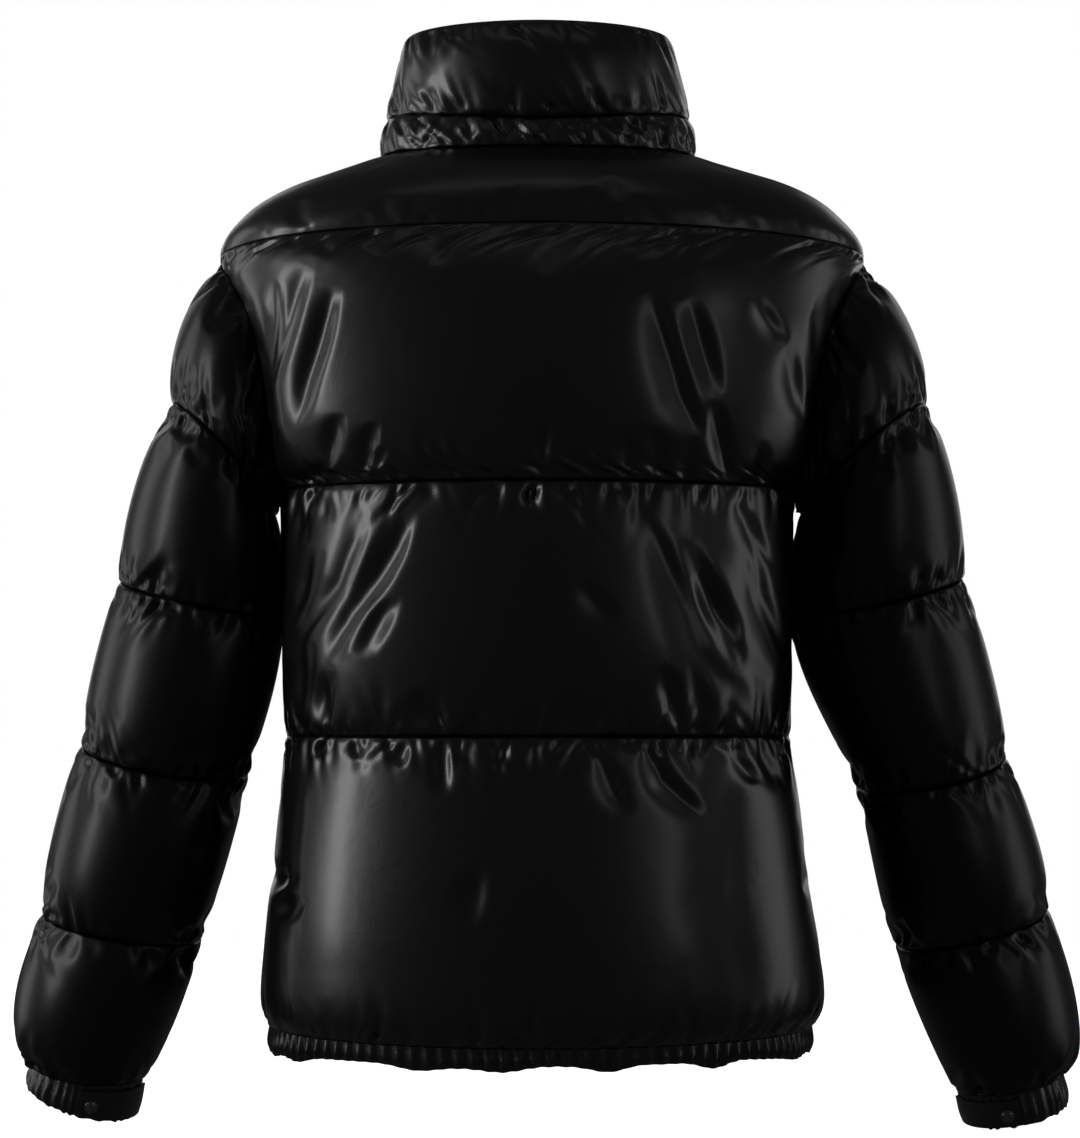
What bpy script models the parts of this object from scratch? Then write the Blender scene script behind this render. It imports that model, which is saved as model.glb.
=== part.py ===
"""Puffer jacket, filled out with nobody in it, as the padded panels a maker quilts and sews.

Frame: metres, +Z up, the jacket's front faces -Y and the wearer's left is +X. The origin is the
middle of the neck opening at shoulder height, where the wearer's neck and shoulders carry it.
"""

import math

import bmesh
import bpy
import numpy as np
from mathutils import Matrix, Vector

# Cloth and seams
SEAM_GAP = 0.0005  # between two sewn pieces
SEAM_WALL = 0.0032  # padded wall where it is sewn flat
BAND_WALL = 0.0030  # elasticated bands
TAPE_WALL = 0.0012  # woven zip tape
INNER_SHARE = 0.30  # how far a baffle swells inwards, as a share of its outward swell
CROWN_DROP = 1.14  # above 1 the filling settles towards the lower seam
CROWN_ROUND = 0.62  # below 1 a baffle is fat right up to its seams
EDGE_PINCH = 0.10  # share of a panel's width that tapers into its side seam

# Swell of the baffles beyond their seams
SWELL_BODY_FACE, SWELL_BODY_SIDE = 0.015, 0.0042
SWELL_YOKE_FACE, SWELL_YOKE_SIDE = 0.007, 0.002
SWELL_SLEEVE_FACE, SWELL_SLEEVE_OUTER, SWELL_SLEEVE_INNER = 0.011, 0.0055, 0.0012
SWELL_COLLAR, SWELL_COLLAR_SIDE, SWELL_STAND = 0.010, 0.003, 0.0032

# Zip
ZIP_OPENING = 0.0090  # from the centre line to a front panel's edge
TAPE_INNER, TAPE_OUTER = 0.0004, 0.0086
TAPE_BELOW_COLLAR_TOP = 0.010
SLIDER_HALF_WIDTH, SLIDER_LENGTH, SLIDER_PLATE = 0.0045, 0.0120, 0.0013
SLIDER_CLEAR = 0.0014  # from the tape's middle plane to a slider plate
ARCH_HALF_WIDTH, ARCH_HOLE, ARCH_WALL = 0.0010, 0.0030, 0.0012
PULL_BAR_RADIUS, PULL_ARM, PULL_WALL = 0.0009, 0.0016, 0.0016
BLEND = 0.98  # a bar that runs into another is this much slimmer, so no two faces coincide
PULL_HALF_WIDTH, PULL_WINDOW, PULL_LENGTH = 0.0036, 0.0048, 0.0290

# Cuff snaps
SNAP_RADIUS, SNAP_HEIGHT, SNAP_RIM = 0.0049, 0.0022, 0.0009
TAB_WALL = 0.0018
TAB_START, TAB_END = math.radians(92), math.radians(178)  # round the cuff from its outer side
SNAP_SHARE = 0.16  # along the tab
TAB_BOW = 0.0004  # slack of the tab over the band's flats
TAB_ROWS = (5.14, 5.5, 5.92)
CUFF_START = 5.03  # the ring where a cuff band begins, clear of the sleeve end
STAND_END = 1.93  # the row where the collar stand stops, clear of the yokes
HEM_START = 4.05  # the row where the hem band begins, clear of the lower baffles


def table(columns, *rows):
    """A table of numbers as {column name: array of its values}."""
    return {name: np.array(values, float) for name, values in zip(columns.split(), zip(*rows))}


# Body rows. row 0 is the neck seam, 1 the yoke seam, 2 the underarm seam, 3 the waist seam,
# 4 the hem-band seam. An edge is the shoulder seam, then the armhole, then the side seam.
# turn is how far the row has turned away from the middle when it reaches its edge, in degrees.
BACK_ROWS = table(
    "row  z_mid   y_mid  x_left  x_right  y_edge  z_edge  turn",
    (0.00, -0.004, 0.077, 0.1180, 0.1180, -0.004, -0.002, 90),
    (0.25, -0.019, 0.093, 0.1560, 0.1590, -0.004, -0.018, 90),
    (0.50, -0.034, 0.106, 0.1920, 0.1985, -0.004, -0.032, 90),
    (0.75, -0.049, 0.116, 0.2185, 0.2235, -0.002, -0.049, 90),
    (1.00, -0.065, 0.124, 0.2360, 0.2420, 0.000, -0.077, 90),
    (1.12, -0.085, 0.129, 0.2245, 0.2300, 0.036, -0.096, 80),
    (1.35, -0.126, 0.137, 0.2060, 0.2110, 0.061, -0.136, 70),
    (1.65, -0.184, 0.142, 0.1975, 0.2005, 0.064, -0.187, 66),
    (1.88, -0.226, 0.141, 0.1930, 0.1940, 0.042, -0.231, 76),
    (2.00, -0.2475, 0.139, 0.1900, 0.1900, 0.000, -0.250, 90),
    (2.50, -0.338, 0.131, 0.1850, 0.1830, 0.000, -0.342, 90),
    (3.00, -0.4286, 0.128, 0.1860, 0.1860, 0.000, -0.432, 90),
    (3.25, -0.484, 0.131, 0.1890, 0.1910, 0.000, -0.486, 90),
    (3.50, -0.538, 0.136, 0.1935, 0.1960, 0.000, -0.540, 90),
    (3.75, -0.592, 0.141, 0.1990, 0.2050, 0.000, -0.592, 90),
    (3.92, -0.630, 0.144, 0.2030, 0.2100, 0.000, -0.628, 90),
    (4.00, -0.6475, 0.140, 0.1990, 0.2030, 0.000, -0.646, 90),
    (5.00, -0.6600, 0.136, 0.1985, 0.2010, 0.000, -0.663, 90),
)
FRONT_ROWS = table(
    "row  z_mid   y_mid  x_left  x_right  y_edge  z_edge  turn",
    (0.00, -0.062, -0.086, 0.1180, 0.1180, -0.004, -0.002, 90),
    (0.25, -0.080, -0.097, 0.1560, 0.1590, -0.004, -0.018, 90),
    (0.50, -0.098, -0.107, 0.1920, 0.1985, -0.004, -0.032, 90),
    (0.75, -0.115, -0.116, 0.2185, 0.2235, -0.002, -0.049, 90),
    (1.00, -0.132, -0.124, 0.2360, 0.2420, 0.000, -0.077, 90),
    (1.12, -0.146, -0.128, 0.2245, 0.2300, -0.034, -0.096, 80),
    (1.35, -0.173, -0.134, 0.2060, 0.2110, -0.056, -0.136, 70),
    (1.65, -0.209, -0.139, 0.1975, 0.2005, -0.058, -0.187, 66),
    (1.88, -0.236, -0.141, 0.1930, 0.1940, -0.040, -0.231, 76),
    (2.00, -0.2500, -0.141, 0.1900, 0.1900, 0.000, -0.250, 90),
    (2.50, -0.340, -0.138, 0.1850, 0.1830, 0.000, -0.342, 90),
    (3.00, -0.4300, -0.136, 0.1860, 0.1860, 0.000, -0.432, 90),
    (3.25, -0.485, -0.138, 0.1890, 0.1910, 0.000, -0.486, 90),
    (3.50, -0.539, -0.141, 0.1935, 0.1960, 0.000, -0.540, 90),
    (3.75, -0.592, -0.145, 0.1990, 0.2050, 0.000, -0.592, 90),
    (3.92, -0.628, -0.147, 0.2030, 0.2100, 0.000, -0.628, 90),
    (4.00, -0.6460, -0.144, 0.1990, 0.2030, 0.000, -0.646, 90),
    (5.00, -0.6620, -0.141, 0.1985, 0.2010, 0.000, -0.663, 90),
)
# Collar rows, from the top edge (row 0) past the stand seam (1) to the neck seam (2).
COLLAR_ROWS = table(
    "row  z_back  y_back  x_side  y_side  z_side  z_front  y_front",
    (0.00, 0.0900, 0.0700, 0.0965, -0.004, 0.0890, 0.0400, -0.0800),
    (0.50, 0.0560, 0.0720, 0.1025, -0.004, 0.0600, 0.0090, -0.0820),
    (1.00, 0.0180, 0.0745, 0.1112, -0.004, 0.0290, -0.0260, -0.0845),
    (2.00, -0.0040, 0.0770, 0.1170, -0.004, -0.0010, -0.0600, -0.0860),
)
# Sleeve rings, from the seam under baffle 1 to the sleeve's end (5) and the cuff's edge (6).
# drop is how much lower than its middle a ring passes at the back.
SLEEVE_COLUMNS = "ring  x_outer  z_outer  x_inner  z_inner  y_mid  half_depth  drop"
SLEEVE_ROWS = {
    "left": table(
        SLEEVE_COLUMNS,
        (1, 0.2710, -0.1875, 0.1990, -0.2640, 0.002, 0.0640, -0.014),
        (1.5, 0.2940, -0.2520, 0.1962, -0.3020, 0.000, 0.0620, -0.004),
        (2, 0.3110, -0.3160, 0.1938, -0.3410, -0.003, 0.0600, 0.006),
        (2.25, 0.3180, -0.3467, 0.1975, -0.3709, -0.005, 0.0590, 0.007),
        (3, 0.3410, -0.4390, 0.2200, -0.4605, -0.010, 0.0560, 0.009),
        (4, 0.3720, -0.5660, 0.2560, -0.5850, -0.018, 0.0520, 0.006),
        (4.8, 0.3890, -0.6540, 0.2890, -0.6700, -0.022, 0.0430, 0.005),
        (5, 0.3820, -0.6790, 0.3010, -0.6900, -0.024, 0.0400, 0.006),
        (6, 0.3860, -0.6940, 0.3075, -0.7175, -0.025, 0.0370, 0.008),
    ),
    "right": table(
        SLEEVE_COLUMNS,
        (1, 0.2880, -0.1880, 0.1990, -0.2640, 0.002, 0.0640, -0.014),
        (1.5, 0.3045, -0.2520, 0.1958, -0.3020, 0.000, 0.0620, -0.004),
        (2, 0.3165, -0.3135, 0.1925, -0.3410, -0.003, 0.0600, 0.006),
        (2.25, 0.3240, -0.3471, 0.2000, -0.3731, -0.005, 0.0590, 0.007),
        (3, 0.3495, -0.4480, 0.2410, -0.4695, -0.010, 0.0560, 0.009),
        (4, 0.3825, -0.5630, 0.2725, -0.5900, -0.018, 0.0520, 0.006),
        (4.8, 0.4020, -0.6660, 0.3090, -0.6800, -0.022, 0.0430, 0.005),
        (5, 0.3960, -0.6860, 0.3195, -0.7000, -0.024, 0.0400, 0.004),
        (6, 0.4000, -0.7080, 0.3265, -0.7240, -0.025, 0.0370, 0.005),
    ),
}
SLEEVE_HEAD = 0.022  # fullness of the sleeve's head over the shoulder
SLEEVE_START_GAP, UNDERARM_GAP = 0.0040, 0.0056  # sleeve head from the armhole edge

# Largest folds, as troughs in the cloth between two places, in metres across and up.
FOLD_COLUMNS = ("x_start", "z_start", "x_end", "z_end", "depth", "half_width")
FOLDS = {
    "back_upper": (
        (0.150, -0.100, 0.176, -0.190, 0.010, 0.010),
        (0.172, -0.090, 0.198, -0.160, 0.008, 0.009),
        (-0.083, -0.110, -0.120, -0.205, 0.009, 0.010),
        (-0.160, -0.105, -0.198, -0.190, 0.008, 0.009),
    ),
    "back_middle": (
        (0.096, -0.262, 0.150, -0.376, 0.010, 0.010),
        (0.132, -0.262, 0.182, -0.370, 0.007, 0.009),
        (-0.110, -0.280, -0.152, -0.395, 0.010, 0.010),
        (-0.080, -0.262, -0.140, -0.400, 0.008, 0.009),
    ),
    "back_lower": (
        (0.185, -0.560, 0.160, -0.610, 0.008, 0.010),
        (-0.080, -0.445, -0.122, -0.495, 0.008, 0.009),
        (-0.150, -0.445, -0.176, -0.480, 0.006, 0.009),
        (0.064, -0.445, 0.060, -0.480, 0.006, 0.009),
    ),
}

# How far a front panel starts past its side seam, as a share of the way to the zip
FRONT_EASE = {"yoke": 0.008, "upper": 0.024, "middle": 1e-6, "lower": 1e-6}

PANEL_SPANS = {"yoke": (0, 1), "upper": (1, 2), "middle": (2, 3), "lower": (3, 4)}
ROW_LINES = (0, 0.07, 0.22, 0.47, 0.73, 0.92, 1)
SIDE_ROW_LINES = (0, 0.1, 0.42, 0.8, 1)
BAND_ROW_LINES = (0, 0.5, 1)
BACK_COLUMNS, FRONT_COLUMNS, SLEEVE_SIDES, COLLAR_COLUMNS, HEM_COLUMNS = 23, 9, 14, 22, 32
STEP = 1e-4  # for slopes along a surface


def clear_scene():
    """Empty the file of objects."""
    for thing in list(bpy.data.objects):
        bpy.data.objects.remove(thing, do_unlink=True)


def material(name, colour, roughness, metallic=0.0):
    """A plain surface."""
    made = bpy.data.materials.new(name)
    made.use_nodes = True
    shader = made.node_tree.nodes["Principled BSDF"]
    shader.inputs["Base Color"].default_value = (*colour, 1.0)
    shader.inputs["Roughness"].default_value = roughness
    shader.inputs["Metallic"].default_value = metallic
    return made


def slope(steps, k):
    """The slope at knot k that never overshoots the slopes of the steps on either side."""
    before, after = steps[max(k - 1, 0)], steps[min(k, len(steps) - 1)]
    return 2 * before * after / (before + after) if before * after > 0 else 0.0


def at(rows, key, where):
    """Smooth values of every column of a table where its first column is `where`."""
    knots = rows[key]
    where = min(max(where, knots[0]), knots[-1])
    i = min(int(np.searchsorted(knots, where, side="right")) - 1, len(knots) - 2)
    span = knots[i + 1] - knots[i]
    t = (where - knots[i]) / span
    found = {}
    for name, values in rows.items():
        steps = np.diff(values) / np.diff(knots)
        slope_0, slope_1 = (slope(steps, k) * span for k in (i, i + 1))
        found[name] = (
            (2 * t**3 - 3 * t**2 + 1) * values[i]
            + (t**3 - 2 * t**2 + t) * slope_0
            + (3 * t**2 - 2 * t**3) * values[i + 1]
            + (t**3 - t**2) * slope_1
        )
    return found


def body_point(around, row):
    """Where the body's wall runs. around is 0 at the centre back, 1 (left) or -1 (right) at the
    side, and 2 or -2 at the centre front."""
    side = "x_left" if around >= 0 else "x_right"
    back = abs(around) <= 1
    here = at(BACK_ROWS if back else FRONT_ROWS, "row", row)
    share = abs(around) if back else 2 - abs(around)
    turn = math.radians(here["turn"])
    angle = share * turn
    across = math.sin(angle) / math.sin(turn)
    middle = max(0.0, (math.cos(angle) - math.cos(turn)) / (1 - math.cos(turn)))
    return np.array(
        (
            math.copysign(here[side] * across, around),
            here["y_edge"] + (here["y_mid"] - here["y_edge"]) * middle**0.88,
            here["z_edge"] + (here["z_mid"] - here["z_edge"]) * middle,
        )
    )


def collar_point(around, row):
    """Where the collar's wall runs, with the body's way of going around."""
    here = at(COLLAR_ROWS, "row", row)
    back = abs(around) <= 1
    share = abs(around) if back else 2 - abs(around)
    angle = share * math.pi / 2
    middle = math.cos(angle)
    y_end, z_end = ("y_back", "z_back") if back else ("y_front", "z_front")
    return np.array(
        (
            math.copysign(here["x_side"] * math.sin(angle), around),
            here["y_side"] + (here[y_end] - here["y_side"]) * middle**0.9,
            here["z_side"] + (here[z_end] - here["z_side"]) * (1 - math.sin(angle) ** 1.6),
        )
    )


def ring_point(side, angle, ring):
    """A sleeve's ring. angle is 0 at the outer side, a quarter turn at the back."""
    here = at(SLEEVE_ROWS[side], "ring", ring)
    outer = np.array((here["x_outer"], 0.0, here["z_outer"]))
    inner = np.array((here["x_inner"], 0.0, here["z_inner"]))
    point = (outer + inner) / 2 + (outer - inner) / 2 * math.cos(angle)
    point[1] = here["y_mid"] + here["half_depth"] * math.sin(angle)
    point[2] -= here["drop"] * math.sin(angle)
    return point * (1 if side == "left" else -1, 1, 1)


def armhole_around(angle):
    """The armhole's edge as (around, row) on the body, for a sleeve's angle."""
    down = (1 - math.cos(angle)) / 2
    front = math.sin(angle) < 0
    return (1.0 + (1e-6 if front else 0.0)), 1 + down


def sleeve_point(side, angle, ring):
    """Where a sleeve's wall runs, from the armhole (ring 0) to the cuff's edge (ring 6)."""
    if ring >= 1:
        return ring_point(side, angle, ring)
    sign = 1 if side == "left" else -1
    around, row = armhole_around(angle)
    edge = body_point(sign * around, row)
    first = ring_point(side, angle, 1)
    gap = SLEEVE_START_GAP + (UNDERARM_GAP - SLEEVE_START_GAP) * max(0.0, -math.cos(angle)) ** 4
    away = (first - edge) / np.linalg.norm(first - edge)
    edge = edge + away * gap
    lift = ring * (1 - ring) * SLEEVE_HEAD * max(0.0, math.cos(angle))
    return edge + (first - edge) * ring + np.array((sign * lift, 0, lift))


def outward(point, u, v, flip):
    """The unit vector out of a surface point(u, v)."""
    along = point(u + STEP, v) - point(u - STEP, v)
    down = point(u, v + STEP) - point(u, v - STEP)
    normal = np.cross(along, down)
    return normal / np.linalg.norm(normal) * (-1 if flip else 1)


def crown(v):
    """How much of its swell a baffle has, from its upper seam (0) to its lower one (1)."""
    if not 0 < v < 1:
        return 0.0
    return math.sin(math.pi * v**CROWN_DROP) ** CROWN_ROUND


def pinch(share, reach=EDGE_PINCH):
    """How much of its swell a panel has at this share of its width from a side seam."""
    return min(1.0, max(0.0, share) / reach) ** 0.5


def column_lines(count):
    """Where a panel's columns stand, closer at its side seams."""
    middle = np.linspace(EDGE_PINCH, 1 - EDGE_PINCH, count - 3)
    return np.concatenate(((0, EDGE_PINCH * 0.3), middle, (1 - EDGE_PINCH * 0.3, 1)))


def fold_depth(name, place):
    """The depth of the folds of a panel at a place on it."""
    deepest = 0.0
    for x_start, z_start, x_end, z_end, depth, half_width in FOLDS.get(name, ()):
        start, run = np.array((x_start, z_start)), np.array((x_end - x_start, z_end - z_start))
        here = np.array((place[0], place[2])) - start
        share = min(1.0, max(0.0, float(here @ run / (run @ run))))
        distance = float(np.linalg.norm(here - run * share))
        deepest = max(deepest, depth * math.exp(-((distance / half_width) ** 2)))
    return deepest


def add_object(name, vertices, faces, surface):
    """One closed solid, with its faces turned outwards."""
    mesh = bpy.data.meshes.new(name)
    mesh.from_pydata([tuple(v) for v in vertices], [], faces)
    shape = bmesh.new()
    shape.from_mesh(mesh)
    bmesh.ops.recalc_face_normals(shape, faces=shape.faces)
    bmesh.ops.triangulate(shape, faces=shape.faces)
    shape.to_mesh(mesh)
    shape.free()
    mesh.materials.append(surface)
    made = bpy.data.objects.new(name, mesh)
    bpy.context.scene.collection.objects.link(made)
    return made


def wall(name, middle, normals, out, back, surface, closed=False):
    """A wall between two sheets, set off from the grid `middle` along `normals`.

    middle and normals are grids [row, column, 3], out and back are grids of distances, and
    `closed` joins the last column to the first.
    """
    rows, columns = middle.shape[:2]
    outer = middle + normals * out[..., None]
    inner = middle - normals * back[..., None]
    vertices = np.concatenate((outer.reshape(-1, 3), inner.reshape(-1, 3)))
    half = rows * columns
    faces = []
    for j in range(rows - 1):
        for i in range(columns if closed else columns - 1):
            k = (i + 1) % columns
            a, b, c, d = (j * columns + i, j * columns + k, (j + 1) * columns + k, (j + 1) * columns + i)
            faces += [(a, b, c, d), (d + half, c + half, b + half, a + half)]
    for i in range(columns if closed else columns - 1):
        k = (i + 1) % columns
        top, low = 0, (rows - 1) * columns
        faces.append((top + k, top + i, top + i + half, top + k + half))
        faces.append((low + i, low + k, low + k + half, low + i + half))
    if not closed:
        for j in range(rows - 1):
            for i in (0, columns - 1):
                a, d = j * columns + i, (j + 1) * columns + i
                faces.append((a, d, d + half, a + half) if i == 0 else (d, a, a + half, d + half))
    return add_object(name, vertices, faces, surface)


def trimmed(grid, closed):
    """A grid whose edges stand back by half a seam gap."""
    moved = grid.copy()
    pairs = [((0, slice(None)), (1, slice(None))), ((-1, slice(None)), (-2, slice(None)))]
    if not closed:
        pairs += [((slice(None), 0), (slice(None), 1)), ((slice(None), -1), (slice(None), -2))]
    for edge, inside in pairs:
        run = grid[inside] - grid[edge]
        moved[edge] += run / np.linalg.norm(run, axis=-1, keepdims=True) * SEAM_GAP / 2
    return moved


def padded(name, point, normal, us, vs, swell, surface, closed=False):
    """A padded panel on the surface point(u, v), which faces normal(u, v). swell(u, v) is its
    outward swell there."""
    middle = trimmed(np.array([[point(u, v) for u in us] for v in vs]), closed)
    normals = np.array([[normal(u, v) for u in us] for v in vs])
    extra = np.array([[swell(u, v) for u in us] for v in vs])
    folds = np.array([[fold_depth(name, place) for place in row] for row in middle])
    out = SEAM_WALL / 2 + extra - np.minimum(extra, folds)
    return wall(name, middle, normals, out, SEAM_WALL / 2 + extra * INNER_SHARE, surface, closed)


def front_edge(sign, row, sample):
    """The `around` value where a front panel stops beside the zip."""
    near = 0.02
    return sign * (2 - near * ZIP_OPENING / abs(sample(sign * (2 - near), row)[0]))


def body_normal(around, row):
    """The way out of the body's wall, the same on both sides of a seam."""
    return outward(body_point, around, min(max(row, 2 * STEP), 5 - 2 * STEP), False)


def collar_normal(around, row):
    """The way out of the collar's wall."""
    return outward(collar_point, around, min(max(row, 2 * STEP), 2 - 2 * STEP), False)


def sleeve_normal(side, angle, ring):
    """The way out of a sleeve's wall."""

    def point(a, r):
        return sleeve_point(side, a, r)

    return outward(point, angle, min(max(ring, 2 * STEP), 6 - 2 * STEP), side == "left")


def body_panel(name, part, sign, surface):
    """One body baffle. sign is 0 for the back, 1 for the front left, -1 for the front right."""
    start, end = PANEL_SPANS[part]
    yoke = part == "yoke"
    face, side = (SWELL_YOKE_FACE, SWELL_YOKE_SIDE) if yoke else (SWELL_BODY_FACE, SWELL_BODY_SIDE)
    lines = column_lines(FRONT_COLUMNS if sign else BACK_COLUMNS)
    shares = SIDE_ROW_LINES if sign or yoke else ROW_LINES

    def around(u, row):
        if not sign:
            return 2 * u - 1
        near = sign * (1 + FRONT_EASE[part])
        return near + (front_edge(sign, row, body_point) - near) * u

    def swell(u, row):
        share = abs(around(u, row))
        facing = math.cos(min(share, 2 - share) * math.pi / 2)
        amount = side + (face - side) * max(0.0, facing) ** 0.7
        return amount * crown((row - start) / (end - start)) * pinch(min(u, 1 - u))

    rows = [start + (end - start) * share for share in shares]
    return padded(
        name,
        lambda u, row: body_point(around(u, row), row),
        lambda u, row: body_normal(around(u, row), row),
        lines,
        rows,
        swell,
        surface,
    )


def sleeve_panel(name, side, number, surface):
    """One sleeve baffle, a tube. Number 1 is sewn into the armhole."""
    angles = [2 * math.pi * i / SLEEVE_SIDES for i in range(SLEEVE_SIDES)]
    start = number - 1
    rows = [start + share for share in SIDE_ROW_LINES]

    def swell(angle, ring):
        faces, outer = math.sin(angle) ** 2, math.cos(angle) > 0
        edge = SWELL_SLEEVE_OUTER if outer else SWELL_SLEEVE_INNER
        snug = 1.0 if number > 2 or outer else 1.0 - 0.8 * (1 - faces)
        return (edge + (SWELL_SLEEVE_FACE - edge) * faces) * crown(ring - start) * snug

    def point(angle, ring):
        return sleeve_point(side, angle, ring)

    def normal(angle, ring):
        return sleeve_normal(side, angle, ring)

    return padded(name, point, normal, angles, rows, swell, surface, closed=True)


def collar_panel(name, start, end, swell_face, swell_side, surface):
    """One collar band, open at the zip."""

    def around(u, row):
        return front_edge(1, row, collar_point) * (2 * u - 1)

    def point(u, row):
        return collar_point(around(u, row), row)

    def normal(u, row):
        return collar_normal(around(u, row), row)

    def swell(u, row):
        share = abs(around(u, row))
        facing = math.cos(min(share, 2 - share) * math.pi / 2) ** 2
        amount = swell_side + (swell_face - swell_side) * facing
        return amount * crown((row - start) / (end - start)) * pinch(min(u, 1 - u), 0.04)

    shares = BAND_ROW_LINES if start else ROW_LINES
    rows = [start + (end - start) * share for share in shares]
    return padded(name, point, normal, column_lines(COLLAR_COLUMNS), rows, swell, surface)


def band(name, point, normal, us, vs, wall_width, surface, closed=False, lift=0.0):
    """An even band on the surface point(u, v), lifted off it by `lift`."""
    middle = np.array([[point(u, v) for u in us] for v in vs])
    normals = np.array([[normal(u, v) for u in us] for v in vs])
    half = np.full(middle.shape[:2], wall_width / 2)
    return wall(name, trimmed(middle, closed) + normals * lift, normals, half, half, surface, closed)


def hem_band(surface):
    """The elasticated band round the hem, open at the zip."""

    def point(u, row):
        return body_point(front_edge(1, row, body_point) * (2 * u - 1), row)

    def normal(u, row):
        return body_normal(front_edge(1, row, body_point) * (2 * u - 1), row)

    rows = (HEM_START, 4.5, 5)
    return band("hem_band", point, normal, column_lines(HEM_COLUMNS), rows, BAND_WALL, surface)


def cuff(side, surface, trim, metal):
    """A cuff: its elasticated band, the plain tab sewn on it and the tab's snap."""

    def point(angle, ring):
        return sleeve_point(side, angle, ring)

    def normal(angle, ring):
        return sleeve_normal(side, angle, ring)

    angles = [2 * math.pi * i / SLEEVE_SIDES for i in range(SLEEVE_SIDES)]
    rows = (CUFF_START, 5.5, 6)
    band("cuff_band_" + side, point, normal, angles, rows, BAND_WALL, surface, closed=True)
    lift = BAND_WALL / 2 + SEAM_GAP + TAB_WALL / 2 + TAB_BOW
    tab_angles = [TAB_START + (TAB_END - TAB_START) * i / 6 for i in range(7)]
    band("cuff_tab_" + side, point, normal, tab_angles, TAB_ROWS, TAB_WALL, trim, lift=lift)
    place = TAB_START + (TAB_END - TAB_START) * SNAP_SHARE, sum(TAB_ROWS[::2]) / 2
    out = normal(*place)
    foot = point(*place) + out * (lift + TAB_WALL / 2 + SEAM_GAP)
    snap_cap("cuff_snap_" + side, foot, out, metal)


def snap_cap(name, foot, normal, surface):
    """A round domed snap cap standing on `foot`."""
    across = np.cross(normal, (0.0, 0.0, 1.0))
    across /= np.linalg.norm(across)
    up = np.cross(across, normal)
    profile = (
        (SNAP_RADIUS, 0.0),
        (SNAP_RADIUS, SNAP_HEIGHT * 0.45),
        (SNAP_RADIUS - SNAP_RIM, SNAP_HEIGHT * 0.8),
        (SNAP_RADIUS * 0.45, SNAP_HEIGHT),
    )
    sides = 16
    vertices = [
        foot + normal * height + radius * (across * math.cos(a) + up * math.sin(a))
        for radius, height in profile
        for a in (2 * math.pi * i / sides for i in range(sides))
    ]
    faces = [tuple(range(sides)), tuple(range(3 * sides, 4 * sides))]
    for j in range(len(profile) - 1):
        for i in range(sides):
            k = (i + 1) % sides
            faces.append((j * sides + i, j * sides + k, (j + 1) * sides + k, (j + 1) * sides + i))
    add_object(name, vertices, faces, surface)


def zip_line():
    """Points down the centre front, from the zip's top end to the hem, with outward directions."""
    places = [(collar_point, row) for row in np.linspace(0, 1.98, 10)]
    places += [(body_point, row) for row in np.linspace(0.02, 5, 40)]
    points = [sample(2.0, row) * (0, 1, 1) for sample, row in places]
    normals = []
    for i in range(len(points)):
        run = points[min(i + 1, len(points) - 1)] - points[max(i - 1, 0)]
        normal = np.cross((-1.0, 0.0, 0.0), run)
        normals.append(normal / np.linalg.norm(normal))
    return points, normals


def zip_tapes(surface):
    """The two zip tapes that show between the fronts."""
    points, normals = zip_line()
    run = points[1] - points[0]
    points[0] = points[0] + run / np.linalg.norm(run) * TAPE_BELOW_COLLAR_TOP
    points.pop(1)
    normals.pop(1)
    for side, sign in (("left", 1), ("right", -1)):
        middle = np.array([[p + (sign * x, 0, 0) for x in (TAPE_INNER, TAPE_OUTER)] for p in points])
        off = np.array([[n, n] for n in normals])
        half = np.full(middle.shape[:2], TAPE_WALL / 2)
        wall("zip_tape_" + side, middle, off, half, half, surface)
    return points[0], normals[0], (points[1] - points[0]) / np.linalg.norm(points[1] - points[0])


def block(low, high):
    """A box as a mesh, from its two corners."""
    shape = bmesh.new()
    bmesh.ops.create_cube(shape, size=1.0)
    size, centre = np.subtract(high, low), np.add(high, low) / 2
    for v in shape.verts:
        v.co = tuple(np.array(v.co) * size + centre)
    return shape


def rod(radius, length, sides=16):
    """A round bar along X, centred on the origin."""
    shape = bmesh.new()
    bmesh.ops.create_cone(
        shape, cap_ends=True, segments=sides, radius1=radius, radius2=radius, depth=length
    )
    for v in shape.verts:
        v.co = (v.co.z, v.co.y, v.co.x)
    return shape


def joined(name, shapes, surface, place):
    """One solid made of overlapping shapes, set down by the matrix `place`."""
    parts = []
    for i, shape in enumerate(shapes):
        bmesh.ops.recalc_face_normals(shape, faces=shape.faces)
        mesh = bpy.data.meshes.new(f"{name}_{i}")
        shape.to_mesh(mesh)
        shape.free()
        parts.append(bpy.data.objects.new(f"{name}_{i}", mesh))
        bpy.context.scene.collection.objects.link(parts[-1])
    whole = parts[0]
    for extra in parts[1:]:
        union = whole.modifiers.new("join", "BOOLEAN")
        union.operation, union.solver, union.object = "UNION", "EXACT", extra
        result = bpy.data.meshes.new_from_object(whole.evaluated_get(bpy.context.evaluated_depsgraph_get()))
        whole.modifiers.clear()
        whole.data = result
        bpy.data.objects.remove(extra, do_unlink=True)
    whole.name, whole.data.name = name, name
    whole.data.materials.clear()
    whole.data.materials.append(surface)
    whole.matrix_world = place
    return whole


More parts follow.
